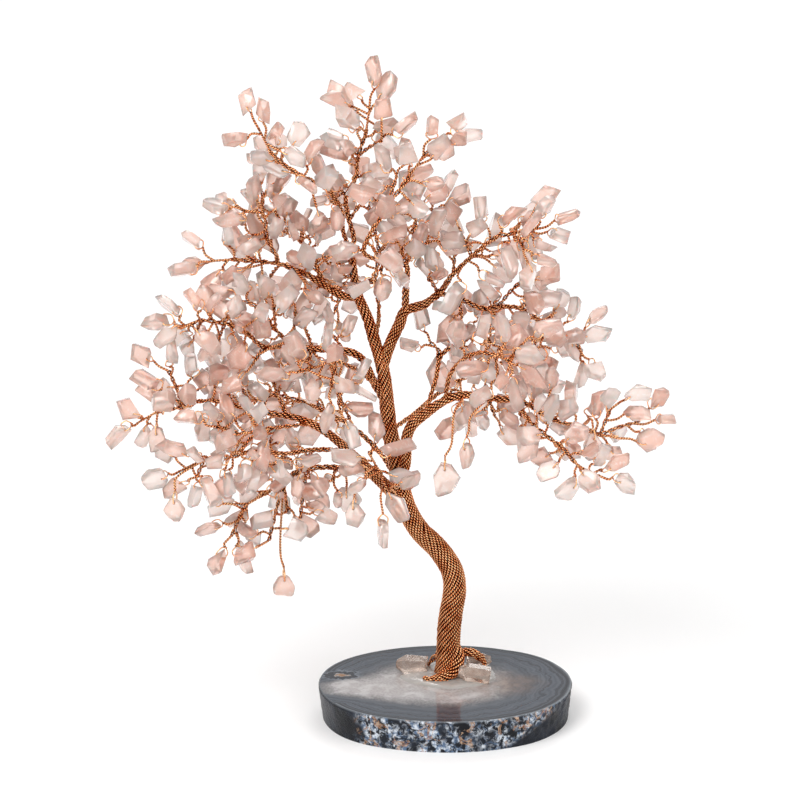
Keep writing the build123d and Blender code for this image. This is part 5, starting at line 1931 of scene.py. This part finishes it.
@dataclass
class Crystal:
    """A quartz point: a six-sided shaft with an uneven tip.

    Args:
        name: Name of its node.
        seat: Place of the shaft's end from the foot, as shares of the pool's length and width.
        heading: Heading seen from above, in degrees.
        tilt: Rise in degrees.
        size: Share of the full size.
        roll: Turn about its own axis, in degrees.
        sit_share: Height of its axis at that end, as a share of its diameter.
        tip_slope: Slope of its tip's faces from its axis.
        bevel: Width of its broken edges.
        sink: How deep it goes into the slice.
    """

    name: str
    seat: tuple[float, float]
    heading: float
    tilt: float
    size: float
    roll: float
    sit_share: float = 0.3
    tip_slope: float = math.radians(29)
    bevel: float = 0.16 * MM
    sink: float = 0.1 * MM

    def build(self, finish: bpy.types.Material, rng: random.Random) -> None:
        """Build the crystal.

        Args:
            finish: Its material.
            rng: Source of its unevenness.
        """
        radius = QUARTZ_DIAMETER * self.size / 2
        tip = QUARTZ_TIP_LENGTH * self.size
        shaft = (QUARTZ_LENGTH - QUARTZ_TIP_LENGTH) * self.size
        shape = bmesh.new()
        bmesh.ops.create_cone(shape, cap_ends=True, segments=6, radius1=radius, radius2=radius, depth=shaft,
                              matrix=Matrix.Translation((0, 0, shaft / 2)))
        end = max(shape.faces, key=lambda part: part.calc_center_median().z)
        made = bmesh.ops.extrude_face_region(shape, geom=[end])["geom"]
        bmesh.ops.delete(shape, geom=[end], context="FACES_ONLY")
        share = (radius - tip * math.tan(self.tip_slope)) / radius
        for vert in of_kind(made, bmesh.types.BMVert):
            vert.co = Vector((vert.co.x * share, vert.co.y * share, shaft + tip * rng.uniform(0.8, 1.0)))
        level, turn = math.cos(math.radians(self.tilt)), math.radians(self.heading)
        along = Vector((math.cos(turn) * level, math.sin(turn) * level, math.sin(math.radians(self.tilt))))
        across, back = self.seat
        seat = FOOT + Vector((across * POOL_LENGTH, back * POOL_WIDTH, 2 * radius * self.sit_share))
        matrix = Matrix.Translation(seat) @ along.to_track_quat("Z", "Y").to_matrix().to_4x4()
        matrix = matrix @ Matrix.Rotation(math.radians(self.roll), 4, "Z")
        bmesh.ops.transform(shape, matrix=matrix, verts=shape.verts)
        cut_off(shape, Vector((0, 0, SLICE_THICKNESS - self.sink)), UP, above=False)
        chamfer(shape, shape.edges[:], self.bevel)
        settle(piece_of(f"{self.name}_point", shape, [finish], crease=18), TREE_BODY, self.name)


@dataclass
class Studio:
    """Pale floor, soft light and the camera at the photograph's viewing angle.

    Args:
        floor_size: Length of the floor's sides.
        floor_tone: Its colour.
        floor_cloud: The brighter colour of its faint clouds.
        floor_white: What it gives off where it is seen.
        sky_strength: Strength of the surroundings as light.
        seen_strength: Their strength where they are seen.
        gloss_strength: Their strength in reflections.
        aim: Point that the camera and the lamps face.
        distance: Distance of the camera from it.
        elevation: Height of the camera as an angle.
        lens: Focal length in millimetres.
    """

    floor_size: float = 12.0
    floor_tone: Colour = (0.90, 0.90, 0.90)
    floor_cloud: Colour = (0.91, 0.91, 0.91)
    floor_white: float = 0.08
    sky_strength: float = 0.66
    seen_strength: float = 1.0
    gloss_strength: float = 0.60
    aim: Vector = field(default_factory=lambda: Vector((-15 * MM, 0, 111.3 * MM)))
    distance: float = 4.0
    elevation: float = math.radians(18)
    lens: float = 540.0

    def build(self) -> None:
        """Build floor, world, lamps and camera."""
        self.floor()
        self.world()
        self.lamp("key", (-0.55, -0.75, 1.15), 0.75, 10.5)
        self.lamp("fill", (0.95, -0.70, 0.55), 0.80, 4.0)
        self.lamp("back", (0.15, 0.95, 0.90), 0.60, 3.5)
        camera = bpy.data.objects.new("camera", bpy.data.cameras.new("camera"))
        back = Vector((0, -math.cos(self.elevation), math.sin(self.elevation)))
        camera.location = self.aim + back * self.distance
        camera.rotation_euler = (-back).to_track_quat("-Z", "Y").to_euler()
        camera.data.lens = self.lens
        camera.data.sensor_width = 36
        camera.data.clip_start, camera.data.clip_end = 0.1, 60
        bpy.context.scene.collection.objects.link(camera)
        bpy.context.scene.camera = camera
        bpy.context.scene.view_settings.view_transform = "Standard"

    def floor(self) -> None:
        """Lay the floor, a little brighter where it is seen than where it only lights the tree."""
        shape = bmesh.new()
        bmesh.ops.create_grid(shape, x_segments=1, y_segments=1, size=self.floor_size / 2)
        graph = Graph("floor")
        rays = graph.add("ShaderNodeLightPath").outputs
        seen = graph.maths("MAXIMUM", rays["Is Camera Ray"], rays["Is Transmission Ray"])
        seen = graph.maths("MAXIMUM", seen, rays["Is Glossy Ray"])
        finish = graph.done(
            Base_Color=graph.mix(graph.noise(0.15, 2), self.floor_tone, self.floor_cloud), Roughness=0.9,
            Specular_IOR_Level=0.1, Emission_Color=(1, 1, 1, 1),
            Emission_Strength=graph.product(seen, self.floor_white),
        )
        floor = piece_of("floor", shape, [finish])

    def world(self) -> None:
        """Light the surroundings evenly, and show them white where they are seen."""
        world = bpy.data.worlds.new("studio")
        bpy.context.scene.world = world
        world.use_nodes = True
        nodes, links = world.node_tree.nodes, world.node_tree.links
        sky, rays = nodes["Background"], nodes.new("ShaderNodeLightPath")
        sky.inputs["Color"].default_value = (1, 1, 1, 1)
        strength = None
        levels = (("Camera", self.seen_strength), ("Transmission", self.seen_strength),
                  ("Glossy", self.gloss_strength))
        for kind, level in levels:
            share = nodes.new("ShaderNodeMath")
            share.operation = "MULTIPLY_ADD"
            links.new(rays.outputs[f"Is {kind} Ray"], share.inputs[0])
            share.inputs[1].default_value = level - self.sky_strength
            share.inputs[2].default_value = self.sky_strength
            if strength is not None:
                links.new(strength, share.inputs[2])
            strength = share.outputs[0]
        links.new(strength, sky.inputs["Strength"])

    def lamp(self, name: str, at: Triple, size: float, power: float) -> None:
        """Hang a soft lamp.

        Args:
            name: Its name.
            at: Its place.
            size: Length of its sides.
            power: Its power in watts.
        """
        lamp = bpy.data.lights.new(name, "AREA")
        lamp.shape = "SQUARE"
        lamp.size = size
        lamp.energy = power
        holder = bpy.data.objects.new(name, lamp)
        holder.location = at
        holder.rotation_euler = (Vector(at) - self.aim).to_track_quat("Z", "Y").to_euler()
        bpy.context.scene.collection.objects.link(holder)


def grow_boughs(copper: bpy.types.Material, rose: bpy.types.Material, plan: Plan) -> None:
    """Build every bough's wires and chips.

    Args:
        copper: Material of the wires.
        rose: Material of the chips.
        plan: The places of all limbs.
    """
    shared = {limb for limbs in SHARED_BOUGHS.values() for limb in limbs}
    names = list(SHARED_BOUGHS) + [name for name in LIMBS if name not in shared]
    boughs = [
        Bough(name, SHARED_BOUGHS.get(name, (name,)), plan, random.Random(100 + rank))
        for rank, name in enumerate(names)
    ]
    for bough in boughs:
        bough.read()
    room = Room(plan)
    added = sum(bough.fill(room) for bough in boughs)
    log.info("%d chips in all, %d of them further ones", sum(len(bough.chips) for bough in boughs), added)
    for bough in boughs:
        bough.wires(copper)
        bough.stones(rose)


def main() -> None:
    """Build every piece in order."""
    logging.basicConfig(level=logging.INFO, format="%(message)s", stream=sys.stdout)
    Studio().build()
    copper, rose, clear = CopperFinish().build(), RoseFinish().build(), ClearQuartzFinish().build()
    plan = Plan()
    AgateSlice().build(AgateFaceFinish().build(), AgateBarkFinish().build())
    ResinPool().build(ResinFinish().build())
    Crystal("quartz_left", (-0.215, 0.13), 176, 4, 0.80, 12).build(clear, random.Random(1))
    Crystal("quartz_right", (0.42, -0.26), 178, 10, 0.80, 24).build(clear, random.Random(2))
    Crystal("quartz_back", (0.20, 0.30), 350, 14, 0.62, 8).build(clear, random.Random(3))
    Rope(plan, random.Random(4)).build(copper)
    for rank, name in enumerate(ROOTS):
        Root(name, random.Random(10 + rank)).build(copper)
    grow_boughs(copper, rose, plan)
    for rank, (name, hanger) in enumerate(HANGERS.items()):
        HangingChip(name, hanger, plan).build(rose, random.Random(200 + rank))


if __name__ == "__main__":
    main()
